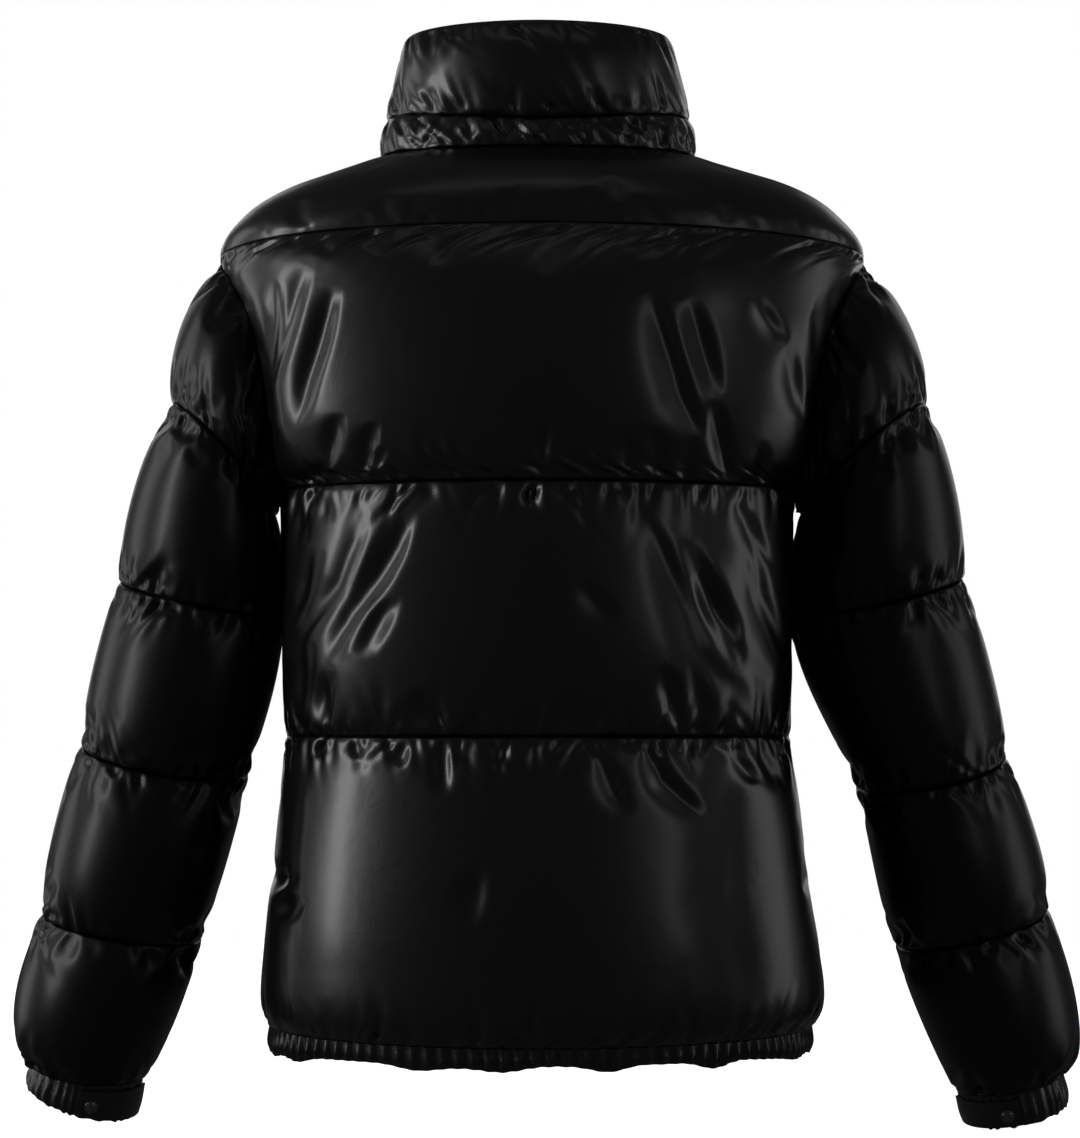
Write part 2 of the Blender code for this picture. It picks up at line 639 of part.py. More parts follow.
def zip_slider(top, normal, down, metal):
    """The slider at the zip's top end, and its pull tab on its own hinge line."""
    frame = Matrix(((1, 0, 0), tuple(-normal), tuple(-down))).transposed().to_4x4()
    frame.translation = tuple(top)
    inner, outer = SLIDER_CLEAR, SLIDER_CLEAR + SLIDER_PLATE
    width, bridge = SLIDER_HALF_WIDTH, 0.0005
    arch_far = outer + ARCH_HOLE + ARCH_WALL
    hinge_y, hinge_z = -(outer + ARCH_HOLE / 2), -SLIDER_LENGTH / 2
    half_hole, bite = ARCH_HOLE / 2, 0.0002
    hole_top, hole_foot = hinge_z + half_hole, hinge_z - half_hole
    arch = ARCH_HALF_WIDTH
    body = joined(
        "zip_slider",
        [
            block((-width, -outer, -SLIDER_LENGTH), (width, -inner, bridge + 0.002)),
            block((-width, inner, -SLIDER_LENGTH), (width, outer, bridge + 0.002)),
            block((-width / 2, -inner - bite, bridge), (width / 2, inner + bite, bridge + 0.002 - bite)),
            block((-arch, -arch_far, hole_top), (arch, -outer + bite, hole_top + ARCH_WALL)),
            block((-arch, -arch_far, hole_foot - ARCH_WALL), (arch, -outer + bite, hole_foot)),
            block(
                (-arch * BLEND, -arch_far + bite / 2, hole_foot - bite),
                (arch * BLEND, -arch_far + ARCH_WALL, hole_top + bite),
            ),
        ],
        metal,
        frame,
    )
    hinge = frame @ Vector((0, hinge_y, hinge_z))
    half, arm = PULL_WALL / 2, ARCH_HALF_WIDTH + SEAM_GAP
    inset = half * BLEND
    arm_foot, arm_top = -PULL_WINDOW - 0.0004, 0.0010
    pull = joined(
        "zip_pull",
        [
            rod(PULL_BAR_RADIUS, 2 * (arm + PULL_ARM) - 0.0002),
            block((arm, -half, arm_foot), (arm + PULL_ARM, half, arm_top)),
            block((-arm - PULL_ARM, -half, arm_foot), (-arm, half, arm_top)),
            block((-PULL_HALF_WIDTH, -inset, -PULL_LENGTH), (PULL_HALF_WIDTH, inset, -PULL_WINDOW)),
        ],
        metal,
        Matrix.Translation(hinge),
    )
    return body, pull


def main():
    """Build every piece."""
    clear_scene()
    shell = material("black_nylon", (0.006, 0.006, 0.007), 0.22)
    ribbed = material("black_elastic", (0.007, 0.007, 0.008), 0.4)
    tape = material("black_tape", (0.012, 0.012, 0.012), 0.7)
    metal = material("dark_metal", (0.035, 0.035, 0.037), 0.3, 0.9)
    for part in PANEL_SPANS:
        body_panel("back_" + part, part, 0, shell)
        body_panel(f"front_{part}_left", part, 1, shell)
        body_panel(f"front_{part}_right", part, -1, shell)
    for side in ("left", "right"):
        for number in range(1, 6):
            sleeve_panel(f"sleeve_{number}_{side}", side, number, shell)
        cuff(side, ribbed, shell, metal)
    collar_panel("collar_upper", 0, 1, SWELL_COLLAR, SWELL_COLLAR_SIDE, shell)
    collar_panel("collar_stand", 1, STAND_END, SWELL_STAND, SWELL_STAND * 0.5, shell)
    hem_band(ribbed)
    zip_slider(*zip_tapes(tape), metal)


main()
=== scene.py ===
"""The looks of a filled-out, glossy black puffer jacket, on the frame of its CAD parts.

Metres, +Z up, the jacket's front faces -Y and the wearer's left is +X.
"""

import logging
import math
from dataclasses import dataclass, field
from enum import Enum
from typing import Callable, Sequence

import bmesh
import bpy
import numpy as np
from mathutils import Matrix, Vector


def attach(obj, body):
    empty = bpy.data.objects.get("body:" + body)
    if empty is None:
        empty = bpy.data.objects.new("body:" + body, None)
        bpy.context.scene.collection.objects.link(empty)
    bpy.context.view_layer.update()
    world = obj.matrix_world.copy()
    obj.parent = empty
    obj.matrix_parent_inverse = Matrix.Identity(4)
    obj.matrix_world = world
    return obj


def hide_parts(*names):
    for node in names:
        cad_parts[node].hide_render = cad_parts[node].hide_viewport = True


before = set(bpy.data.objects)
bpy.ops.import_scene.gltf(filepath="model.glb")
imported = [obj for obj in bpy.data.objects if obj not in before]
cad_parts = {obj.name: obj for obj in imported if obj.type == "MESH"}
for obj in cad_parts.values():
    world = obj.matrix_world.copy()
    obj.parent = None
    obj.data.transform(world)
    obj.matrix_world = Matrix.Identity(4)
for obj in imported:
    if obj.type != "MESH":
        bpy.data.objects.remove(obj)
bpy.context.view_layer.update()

LOG = logging.getLogger("jacket")

STEP = 1e-4  # for slopes along a surface
SEAM_GAP = 0.0002  # between two sewn panels
SEAM_WALL = 0.0030  # padded wall where it is sewn flat
INNER_SHARE = 0.30  # how far a baffle swells inwards, as a share of its outward swell
CROWN_DROP, CROWN_ROUND = 1.10, 0.55  # filling settles low, and is fat up to the seams
CLOTH_STEP = 0.0041  # cloth mesh before it is smoothed
LINING_STEP = 0.0180
SETTLE_FRAMES = 16
ZIP_OPENING = 0.0090
PANEL_PINCH, COLLAR_PINCH = 0.08, 0.04  # shares of a panel's width where its swell dies out
SEAM_FADE = 0.0050  # puckers die out this near a seam
TAUT_WEIGHT, TAUT_REACH = 1.15, 0.15  # the middle of a panel is held taut, to this far from the middle
CREASE_ENDS = 0.45  # a crease's width at its ends, as a share of its middle's
COAT_ROUGHNESS = 0.16
BAND_STEP = 0.0014  # mesh along a rippled strip

Grid = np.ndarray


class Table:
    """Numbers in named columns, read smoothly between rows without overshoot."""

    def __init__(self, columns: str, *rows: Sequence[float]) -> None:
        """Args: columns: the names, the first being the key. rows: one row for each section."""
        self.names = columns.split()
        self.values = np.array(rows, float)
        knots = self.values[:, :1]
        steps = np.diff(self.values, axis=0) / np.diff(knots, axis=0)
        before = np.concatenate((steps[:1], steps))
        after = np.concatenate((steps, steps[-1:]))
        total = np.where(before * after > 0, before + after, 1.0)
        self.slopes = np.where(before * after > 0, 2 * before * after / total, 0.0)

    def at(self, where: Grid) -> dict[str, Grid]:
        """Read the table between its rows.

        Args:
            where: values of the key.

        Returns:
            Every column there, by name.
        """
        knots = self.values[:, 0]
        where = np.clip(where, knots[0], knots[-1])
        i = np.clip(np.searchsorted(knots, where, side="right") - 1, 0, len(knots) - 2)
        span = knots[i + 1] - knots[i]
        t = (where - knots[i]) / span
        found = {}
        for k, name in enumerate(self.names):
            low, high = self.values[i, k], self.values[i + 1, k]
            found[name] = (
                (2 * t**3 - 3 * t**2 + 1) * low
                + (t**3 - 2 * t**2 + t) * self.slopes[i, k] * span
                + (3 * t**2 - 2 * t**3) * high
                + (t**3 - t**2) * self.slopes[i + 1, k] * span
            )
        return found


# Body rows: 0 neck seam, 1 yoke seam, 2 underarm seam, 3 waist seam, 4 hem-band seam, 5 hem.
BODY_COLUMNS = "row z_mid y_mid x_left x_right y_edge z_edge turn"
BACK_ROWS = Table(
    BODY_COLUMNS,
    (0.00, -0.004, 0.077, 0.1180, 0.1180, -0.004, -0.002, 90),
    (0.25, -0.019, 0.093, 0.1560, 0.1590, -0.004, -0.018, 90),
    (0.50, -0.034, 0.106, 0.1920, 0.1985, -0.004, -0.032, 90),
    (0.75, -0.049, 0.116, 0.2185, 0.2235, -0.002, -0.049, 90),
    (1.00, -0.065, 0.124, 0.2360, 0.2420, 0.000, -0.077, 90),
    (1.12, -0.085, 0.129, 0.2245, 0.2300, 0.036, -0.096, 80),
    (1.35, -0.126, 0.137, 0.2060, 0.2110, 0.061, -0.136, 70),
    (1.65, -0.184, 0.142, 0.1975, 0.2005, 0.064, -0.187, 66),
    (1.88, -0.226, 0.141, 0.1930, 0.1940, 0.042, -0.231, 76),
    (2.00, -0.2475, 0.139, 0.1900, 0.1900, 0.000, -0.250, 90),
    (2.50, -0.338, 0.131, 0.1850, 0.1830, 0.000, -0.342, 90),
    (3.00, -0.4286, 0.128, 0.1860, 0.1860, 0.000, -0.432, 90),
    (3.25, -0.484, 0.131, 0.1890, 0.1910, 0.000, -0.486, 90),
    (3.50, -0.538, 0.136, 0.1935, 0.1960, 0.000, -0.540, 90),
    (3.75, -0.592, 0.141, 0.1990, 0.2050, 0.000, -0.592, 90),
    (3.92, -0.630, 0.144, 0.2030, 0.2100, 0.000, -0.628, 90),
    (4.00, -0.6475, 0.140, 0.1990, 0.2030, 0.000, -0.646, 90),
    (5.00, -0.6600, 0.136, 0.1985, 0.2010, 0.000, -0.663, 90),
)
FRONT_ROWS = Table(
    BODY_COLUMNS,
    (0.00, -0.062, -0.086, 0.1180, 0.1180, -0.004, -0.002, 90),
    (0.25, -0.080, -0.097, 0.1560, 0.1590, -0.004, -0.018, 90),
    (0.50, -0.098, -0.107, 0.1920, 0.1985, -0.004, -0.032, 90),
    (0.75, -0.115, -0.116, 0.2185, 0.2235, -0.002, -0.049, 90),
    (1.00, -0.132, -0.124, 0.2360, 0.2420, 0.000, -0.077, 90),
    (1.12, -0.146, -0.128, 0.2245, 0.2300, -0.034, -0.096, 80),
    (1.35, -0.173, -0.134, 0.2060, 0.2110, -0.056, -0.136, 70),
    (1.65, -0.209, -0.139, 0.1975, 0.2005, -0.058, -0.187, 66),
    (1.88, -0.236, -0.141, 0.1930, 0.1940, -0.040, -0.231, 76),
    (2.00, -0.2500, -0.141, 0.1900, 0.1900, 0.000, -0.250, 90),
    (2.50, -0.340, -0.138, 0.1850, 0.1830, 0.000, -0.342, 90),
    (3.00, -0.4300, -0.136, 0.1860, 0.1860, 0.000, -0.432, 90),
    (3.25, -0.485, -0.138, 0.1890, 0.1910, 0.000, -0.486, 90),
    (3.50, -0.539, -0.141, 0.1935, 0.1960, 0.000, -0.540, 90),
    (3.75, -0.592, -0.145, 0.1990, 0.2050, 0.000, -0.592, 90),
    (3.92, -0.628, -0.147, 0.2030, 0.2100, 0.000, -0.628, 90),
    (4.00, -0.6460, -0.144, 0.1990, 0.2030, 0.000, -0.646, 90),
    (5.00, -0.6620, -0.141, 0.1985, 0.2010, 0.000, -0.663, 90),
)
COLLAR_ROWS = Table(
    "row z_back y_back x_side y_side z_side z_front y_front",
    (0.00, 0.0900, 0.0700, 0.0965, -0.004, 0.0890, 0.0400, -0.0800),
    (0.50, 0.0560, 0.0720, 0.1025, -0.004, 0.0600, 0.0090, -0.0820),
    (1.00, 0.0180, 0.0745, 0.1112, -0.004, 0.0290, -0.0260, -0.0845),
    (2.00, -0.0040, 0.0770, 0.1170, -0.004, -0.0010, -0.0600, -0.0860),
)
SLEEVE_COLUMNS = "ring x_outer z_outer x_inner z_inner y_mid half_depth drop"


class Side(Enum):
    """The wearer's sides."""

    LEFT = "left"
    RIGHT = "right"

    @property
    def sign(self) -> int:
        """Which way the side lies along X."""
        return 1 if self is Side.LEFT else -1


SLEEVE_ROWS = {
    Side.LEFT: Table(
        SLEEVE_COLUMNS,
        (1, 0.2710, -0.1875, 0.1990, -0.2640, 0.002, 0.0640, -0.014),
        (1.5, 0.2940, -0.2520, 0.1962, -0.3020, 0.000, 0.0620, -0.004),
        (2, 0.3110, -0.3160, 0.1938, -0.3410, -0.003, 0.0600, 0.006),
        (2.25, 0.3180, -0.3467, 0.1975, -0.3709, -0.005, 0.0590, 0.007),
        (3, 0.3410, -0.4390, 0.2200, -0.4605, -0.010, 0.0560, 0.009),
        (4, 0.3720, -0.5660, 0.2560, -0.5850, -0.018, 0.0520, 0.006),
        (4.8, 0.3890, -0.6540, 0.2890, -0.6700, -0.022, 0.0430, 0.005),
        (5, 0.3820, -0.6790, 0.3010, -0.6900, -0.024, 0.0400, 0.006),
        (6, 0.3860, -0.6940, 0.3075, -0.7175, -0.025, 0.0370, 0.008),
    ),
    Side.RIGHT: Table(
        SLEEVE_COLUMNS,
        (1, 0.2880, -0.1880, 0.1990, -0.2640, 0.002, 0.0640, -0.014),
        (1.5, 0.3045, -0.2520, 0.1958, -0.3020, 0.000, 0.0620, -0.004),
        (2, 0.3165, -0.3135, 0.1925, -0.3410, -0.003, 0.0600, 0.006),
        (2.25, 0.3240, -0.3471, 0.2000, -0.3731, -0.005, 0.0590, 0.007),
        (3, 0.3495, -0.4480, 0.2410, -0.4695, -0.010, 0.0560, 0.009),
        (4, 0.3825, -0.5630, 0.2725, -0.5900, -0.018, 0.0520, 0.006),
        (4.8, 0.4020, -0.6660, 0.3090, -0.6800, -0.022, 0.0430, 0.005),
        (5, 0.3960, -0.6860, 0.3195, -0.7000, -0.024, 0.0400, 0.004),
        (6, 0.4000, -0.7080, 0.3265, -0.7240, -0.025, 0.0370, 0.005),
    ),
}

SLEEVE_HEAD = 0.022  # fullness of a sleeve's head over the shoulder

CREASE_STEEP, CREASE_GENTLE, CREASE_DEPTH = 0.40, 1.15, 0.8  # shares of a crease's width and depth

# Creases of a panel: places down each crease (across, up), depth and half width in millimetres.
Crease = tuple[tuple[tuple[float, float], ...], float, float]
CREASES: dict[str, tuple[Crease, ...]] = {
    "back_upper": (
        (((0.140, -0.112), (0.149, -0.143), (0.159, -0.173), (0.167, -0.207)), 9, 9),
        (((0.161, -0.096), (0.172, -0.130), (0.183, -0.162), (0.187, -0.178)), 5, 7),
        (((0.182, -0.103), (0.188, -0.149), (0.189, -0.166)), 4, 6),
        (((0.137, -0.200), (0.146, -0.236)), 4, 6),
        (((0.112, -0.207), (0.122, -0.242)), 4, 5),
        (((0.108, -0.225), (0.112, -0.238)), 3, 4),
        (((0.156, -0.233), (0.158, -0.252)), 4, 5),
        (((-0.007, -0.209), (-0.004, -0.229), (-0.002, -0.244)), 3, 5),
        (((-0.079, -0.117), (-0.089, -0.154), (-0.099, -0.189), (-0.113, -0.216)), 7, 9),
        (((-0.106, -0.121), (-0.123, -0.189)), 5, 8),
        (((-0.123, -0.193), (-0.128, -0.214), (-0.136, -0.244)), 6, 5),
        (((-0.150, -0.117), (-0.171, -0.148)), 4, 7),
        (((-0.176, -0.154), (-0.186, -0.200)), 4, 6),
        (((-0.065, -0.214), (-0.064, -0.249)), 3, 4),
        (((-0.085, -0.221), (-0.083, -0.250)), 3, 4),
        (((-0.107, -0.226), (-0.104, -0.251)), 4, 4),
        (((-0.159, -0.221), (-0.161, -0.253)), 4, 4),
    ),
    "back_middle": (
        (((0.087, -0.270), (0.098, -0.298), (0.108, -0.315), (0.126, -0.339), (0.145, -0.377)), 9, 9),
        (((0.122, -0.268), (0.124, -0.288), (0.137, -0.321), (0.157, -0.349), (0.170, -0.374)), 6, 8),
        (((0.154, -0.295), (0.163, -0.326), (0.172, -0.349)), 5, 6),
        (((0.098, -0.331), (0.119, -0.371)), 5, 7),
        (((0.146, -0.383), (0.152, -0.421)), 5, 5),
        (((0.161, -0.362), (0.168, -0.415)), 4, 5),
        (((0.169, -0.257), (0.166, -0.291)), 4, 4),
        (((0.149, -0.257), (0.147, -0.277)), 3, 4),
        (((-0.104, -0.286), (-0.115, -0.318), (-0.129, -0.351), (-0.141, -0.381)), 8, 8),
        (((-0.115, -0.312), (-0.127, -0.337), (-0.138, -0.356)), 4, 6),
        (((-0.147, -0.292), (-0.153, -0.328), (-0.175, -0.380)), 6, 7),
        (((-0.073, -0.268), (-0.084, -0.291), (-0.113, -0.367), (-0.134, -0.395)), 6, 9),
        (((-0.029, -0.319), (-0.053, -0.346)), 3, 8),
        (((-0.088, -0.379), (-0.101, -0.421)), 5, 6),
        (((-0.108, -0.375), (-0.118, -0.419)), 4, 6),
        (((-0.140, -0.256), (-0.159, -0.305)), 5, 5),
        (((0.082, -0.395), (0.068, -0.422)), 4, 10),
        (((-0.015, -0.402), (-0.043, -0.423)), 4, 12),
    ),
    "back_lower": (
        (((0.154, -0.432), (0.151, -0.443)), 4, 4),
        (((0.130, -0.432), (0.126, -0.444)), 4, 4),
        (((0.093, -0.432), (0.096, -0.451)), 4, 5),
        (((0.065, -0.432), (0.063, -0.470)), 4, 6),
        (((0.038, -0.518), (0.046, -0.565)), 3, 9),
        (((-0.076, -0.437), (-0.088, -0.460), (-0.116, -0.486)), 6, 7),
        (((-0.043, -0.443), (-0.062, -0.484)), 4, 7),
        (((-0.140, -0.444), (-0.158, -0.463)), 5, 5),
        (((-0.158, -0.432), (-0.174, -0.470)), 5, 5),
        (((0.173, -0.528), (0.187, -0.546)), 5, 6),
        (((0.166, -0.546), (0.183, -0.566)), 5, 6),
        (((0.170, -0.448), (0.176, -0.514), (0.172, -0.584)), 2, 7),
        (((-0.136, -0.446), (-0.130, -0.542), (-0.150, -0.620)), 3, 12),
    ),
}


def body_point(around: Grid, row: Grid) -> Grid:
    """Where the body's wall runs.

    Args:
        around: 0 at the centre back, 1 and -1 at the left and right sides, 2 and -2 in front.
        row: the body row.

    Returns:
        Points, with X, Y and Z last.
    """
    back, front = BACK_ROWS.at(row), FRONT_ROWS.at(row)
    behind = np.abs(around) <= 1
    here = {name: np.where(behind, back[name], front[name]) for name in back}
    share = np.where(behind, np.abs(around), 2 - np.abs(around))
    turn = np.radians(here["turn"])
    angle = share * turn
    middle = np.clip((np.cos(angle) - np.cos(turn)) / (1 - np.cos(turn)), 0, None)
    half = np.where(around >= 0, here["x_left"], here["x_right"])
    return np.stack(
        (
            np.copysign(half * np.sin(angle) / np.sin(turn), around),
            here["y_edge"] + (here["y_mid"] - here["y_edge"]) * middle**0.88,
            here["z_edge"] + (here["z_mid"] - here["z_edge"]) * middle,
        ),
        axis=-1,
    )


def collar_point(around: Grid, row: Grid) -> Grid:
    """Where the collar's wall runs.

    Args:
        around: as in body_point.
        row: 0 at the top edge, 1 at the seam over the stand, 2 at the neck seam.

    Returns:
        Points, with X, Y and Z last.
    """
    here = COLLAR_ROWS.at(row)
    behind = np.abs(around) <= 1
    angle = np.where(behind, np.abs(around), 2 - np.abs(around)) * math.pi / 2
    middle = np.clip(np.cos(angle), 0, None)
    y_end = np.where(behind, here["y_back"], here["y_front"])
    z_end = np.where(behind, here["z_back"], here["z_front"])
    return np.stack(
        (
            np.copysign(here["x_side"] * np.sin(angle), around),
            here["y_side"] + (y_end - here["y_side"]) * middle**0.9,
            here["z_side"] + (z_end - here["z_side"]) * (1 - np.sin(angle) ** 1.6),
        ),
        axis=-1,
    )


def sleeve_point(side: Side, angle: Grid, ring: Grid) -> Grid:
    """Where a sleeve's wall runs.

    Args:
        side: which sleeve.
        angle: 0 at the outer side and a quarter turn at the back.
        ring: 0 at the armhole, 1 to 4 at the quilt seams, 5 at the cuff seam, 6 at the cuff's edge.

    Returns:
        Points, with X, Y and Z last.
    """
    angle, ring = np.broadcast_arrays(np.asarray(angle, float), np.asarray(ring, float))
    here = SLEEVE_ROWS[side].at(np.maximum(ring, 1))
    outer = np.stack((here["x_outer"], 0 * ring, here["z_outer"]), -1)
    inner = np.stack((here["x_inner"], 0 * ring, here["z_inner"]), -1)
    point = (outer + inner) / 2 + (outer - inner) / 2 * np.cos(angle)[..., None]
    point[..., 1] = here["y_mid"] + here["half_depth"] * np.sin(angle)
    point[..., 2] -= here["drop"] * np.sin(angle)
    point[..., 0] *= side.sign
    front = np.sin(angle) < 0
    edge = body_point(side.sign * (1 + 1e-6 * front), 1 + (1 - np.cos(angle)) / 2)
    run = point - edge
    far = np.linalg.norm(run, axis=-1, keepdims=True)
    edge = edge + run / far * (0.001 + 0.003 * np.clip(-np.cos(angle), 0, None) ** 4)[..., None]
    head = np.clip(ring, 0, 1)
    lift = head * (1 - head) * SLEEVE_HEAD * np.clip(np.cos(angle), 0, None)
    bump = np.stack((side.sign * lift, 0 * lift, lift), -1)
    started = edge + (point - edge) * head[..., None] + bump
    return np.where((ring < 1)[..., None], started, point)


PointOf = Callable[[Grid, Grid], Grid]


def outward(point: PointOf, u: Grid, v: Grid, flip: bool) -> Grid:
    """Find which way a surface faces.

    Args:
        point: the surface.
        u: places across it.
        v: places down it.
        flip: whether the way found is to be turned round.

    Returns:
        Unit vectors out of it.
    """
    along = point(u + STEP, v) - point(u - STEP, v)
    down = point(u, v + STEP) - point(u, v - STEP)
    normal = np.cross(along, down)
    normal /= np.linalg.norm(normal, axis=-1, keepdims=True)
    return -normal if flip else normal


def crown(v: Grid) -> Grid:
    """How much of its swell a baffle has, from its upper seam at 0 to its lower one at 1."""
    return np.sin(np.pi * np.clip(v, 0, 1) ** CROWN_DROP).clip(0, 1) ** CROWN_ROUND


def front_edge(row: Grid, point: PointOf) -> Grid:
    """The `around` value where the cloth stops beside the zip."""
    near = 0.02
    return 2 - near * ZIP_OPENING / np.abs(point(2 - near + 0 * row, row)[..., 0])


class Value:
    """A shader socket that can be used in ordinary sums."""

    def __init__(self, nodes: "Nodes", socket: bpy.types.NodeSocket | None) -> None:
        """Args: nodes: the nodes that it is one of. socket: the output to work on."""
        self.nodes, self.socket = nodes, socket

    def _sum(self, operation: str, first: object, second: object) -> "Value":
        """A Math node on two sockets or numbers."""
        return self.nodes.add("ShaderNodeMath", {"operation": operation}, {0: first, 1: second})

    def __add__(self, other: object) -> "Value":
        """self + other."""
        return self._sum("ADD", self, other)

    __radd__ = __add__

    def __mul__(self, other: object) -> "Value":
        """self * other."""
        return self._sum("MULTIPLY", self, other)

    __rmul__ = __mul__

    def __sub__(self, other: object) -> "Value":
        """self - other."""
        return self._sum("SUBTRACT", self, other)

    def __rsub__(self, other: object) -> "Value":
        """other - self."""
        return self._sum("SUBTRACT", other, self)


class Nodes:
    """The nodes of one material or of the surround."""

    def __init__(self, tree: bpy.types.NodeTree) -> None:
        """Args: tree: where they are made."""
        self.tree = tree

    def add(
        self,
        kind: str,
        settings: dict[str, object],
        values: dict[int | str, object],
        out: int | str = 0,
    ) -> Value:
        """Make one node.

        Args:
            kind: the node's type.
            settings: its own settings, set first.
            values: numbers, colours or Values for its sockets.
            out: which output is wanted.

        Returns:
            That output, or an empty Value for a node that ends the tree.
        """
        made = self.tree.nodes.new(kind)
        for key, setting in settings.items():
            setattr(made, key, setting)
        for key, value in values.items():
            if isinstance(value, Value):
                self.tree.links.new(value.socket, made.inputs[key])
            else:
                made.inputs[key].default_value = value
        return Value(self, made.outputs[out] if len(made.outputs) else None)


@dataclass(frozen=True)
class Finish:
    """A surface: its colour and gloss, and the height of the small waves in it."""

    name: str
    colour: tuple[float, float, float]
    roughness: float
    metallic: float = 0.0
    coat: float = 0.0
    crumple: float = 0.0
    crumple_scale: float = 60.0
    weave: float = 0.0
    specular: float = 0.5
    glow: float = 0.0

    def material(self) -> bpy.types.Material:
        """Make the material, or find it if it is already made.

        Returns:
            The material.
        """
        if self.name in bpy.data.materials:
            return bpy.data.materials[self.name]
        made = bpy.data.materials.new(self.name)
        made.use_nodes = True
        shader = made.node_tree.nodes["Principled BSDF"]
        shader.inputs["Base Color"].default_value = (*self.colour, 1)
        shader.inputs["Roughness"].default_value = self.roughness
        shader.inputs["Metallic"].default_value = self.metallic
        shader.inputs["Coat Weight"].default_value = self.coat
        shader.inputs["Specular IOR Level"].default_value = self.specular
        shader.inputs["Coat Roughness"].default_value = COAT_ROUGHNESS
        if self.glow:
            shader.inputs["Emission Color"].default_value = (1, 1, 1, 1)
            shader.inputs["Emission Strength"].default_value = self.glow
        if self.crumple or self.weave:
            self.roughen(made, shader)
        return made

    def roughen(self, made: bpy.types.Material, shader: bpy.types.Node) -> None:
        """Give the surface its small waves and its weave.

        Args:
            made: the material.
            shader: its main node.
        """
        nodes = Nodes(made.node_tree)
        place = nodes.add("ShaderNodeTexCoord", {}, {}, out=3)
        waves = {"Scale": self.crumple_scale, "Detail": 3.0, "Roughness": 0.55, "Distortion": 0.6}
        wave = nodes.add("ShaderNodeTexNoise", {}, {"Vector": place, **waves})
        thread = nodes.add("ShaderNodeTexNoise", {}, {"Vector": place, "Scale": 900.0, "Detail": 1.0})
        height = wave * self.crumple + thread * self.weave
        bump = nodes.add("ShaderNodeBump", {}, {"Strength": 1.0, "Distance": 0.001, "Height": height})
        made.node_tree.links.new(bump.socket, shader.inputs["Normal"])


BLACK = (0.0024, 0.0024, 0.0026)
NYLON = Finish("lacquered_nylon", BLACK, 0.34, coat=0.12, crumple=0.30, crumple_scale=30.0, weave=0.04)
SLEEVE_NYLON = Finish(
    "lacquered_sleeve_nylon", BLACK, 0.36, coat=0.03, crumple=0.30, crumple_scale=30.0, weave=0.04, specular=0.24
)
ELASTIC = Finish(
    "gathered_nylon", (0.0030, 0.0030, 0.0032), 0.36, coat=0.05, crumple=0.5, crumple_scale=140.0, weave=0.08
)
TAPE = Finish("zip_tape", (0.010, 0.010, 0.010), 0.75, weave=0.3)
METAL = Finish("dark_metal", (0.11, 0.11, 0.115), 0.30, metallic=0.9)
TEETH = Finish("zip_teeth", (0.020, 0.020, 0.021), 0.35, metallic=0.7)
PALE = Finish("pale_floor", (0.9, 0.9, 0.9), 0.9, glow=1.0)


Faces = list[tuple[int, ...]]


def mesh_object(name: str, points: Grid, faces: Faces, finish: Finish) -> bpy.types.Object:
    """Put a smooth-shaded mesh in the scene.

    Args:
        name: what it is called.
        points: its places, in any grid.
        faces: the places' numbers round each face.
        finish: its surface.

    Returns:
        The object.
    """
    mesh = bpy.data.meshes.new(name)
    mesh.from_pydata(points.reshape(-1, 3).tolist(), [], faces)
    mesh.materials.append(finish.material())
    mesh.shade_smooth()
    made = bpy.data.objects.new(name, mesh)
    bpy.context.scene.collection.objects.link(made)
    return made


def grid_faces(rows: int, columns: int, closed: bool, start: int = 0, turned: bool = False) -> Faces:
    """Join a grid of points.

    Args:
        rows: how many points down.
        columns: how many points across.
        closed: whether the last column joins the first.
        start: the number of the grid's first point.
        turned: whether the faces look the other way.

    Returns:
        The faces.
    """
    j, i = np.mgrid[0 : rows - 1, 0 : columns if closed else columns - 1]
    k = (i + 1) % columns
    a, b, c, d = j * columns + i, j * columns + k, (j + 1) * columns + k, (j + 1) * columns + i
    order = (a, b, c, d) if turned else (a, d, c, b)
    return [tuple(f) for f in (np.stack(order, -1).reshape(-1, 4) + start).tolist()]


def crease_depth(creases: Sequence[Crease], across: Grid, up: Grid) -> Grid:
    """How deep the creases are at places on a panel.

    Args:
        creases: a panel's creases, each steep on one side, gentle on the other and thin at its ends.
        across: places along X.
        up: places along Z.

    Returns:
        Depths in metres.
    """
    total = np.zeros_like(across)
    for places, depth, half_width in creases:
        runs = [(b[0] - a[0], b[1] - a[1]) for a, b in zip(places, places[1:])]
        lengths = [math.hypot(*run) for run in runs]
        near, along, wide = np.full_like(across, 9.0), np.zeros_like(across), np.ones_like(across)
        done = 0.0
        for (x, z), (run_x, run_z), length in zip(places, runs, lengths):
            share = (((across - x) * run_x + (up - z) * run_z) / length**2).clip(0, 1)
            off = np.hypot(across - x - share * run_x, up - z - share * run_z)
            side = (across - x) * run_z - (up - z) * run_x > 0
            closer = off < near
            near = np.where(closer, off, near)
            along = np.where(closer, (done + share * length) / sum(lengths), along)
            wide = np.where(closer, np.where(side, CREASE_STEEP, CREASE_GENTLE), wide)
            done += length
        taper = np.sin(np.pi * along.clip(0, 1)).clip(0, 1) ** 0.8
        s = near / (half_width * 1e-3 * wide * (CREASE_ENDS + (1 - CREASE_ENDS) * taper))
        total += depth * CREASE_DEPTH * 1e-3 * taper * np.exp(-0.5 * s**2)
    return total


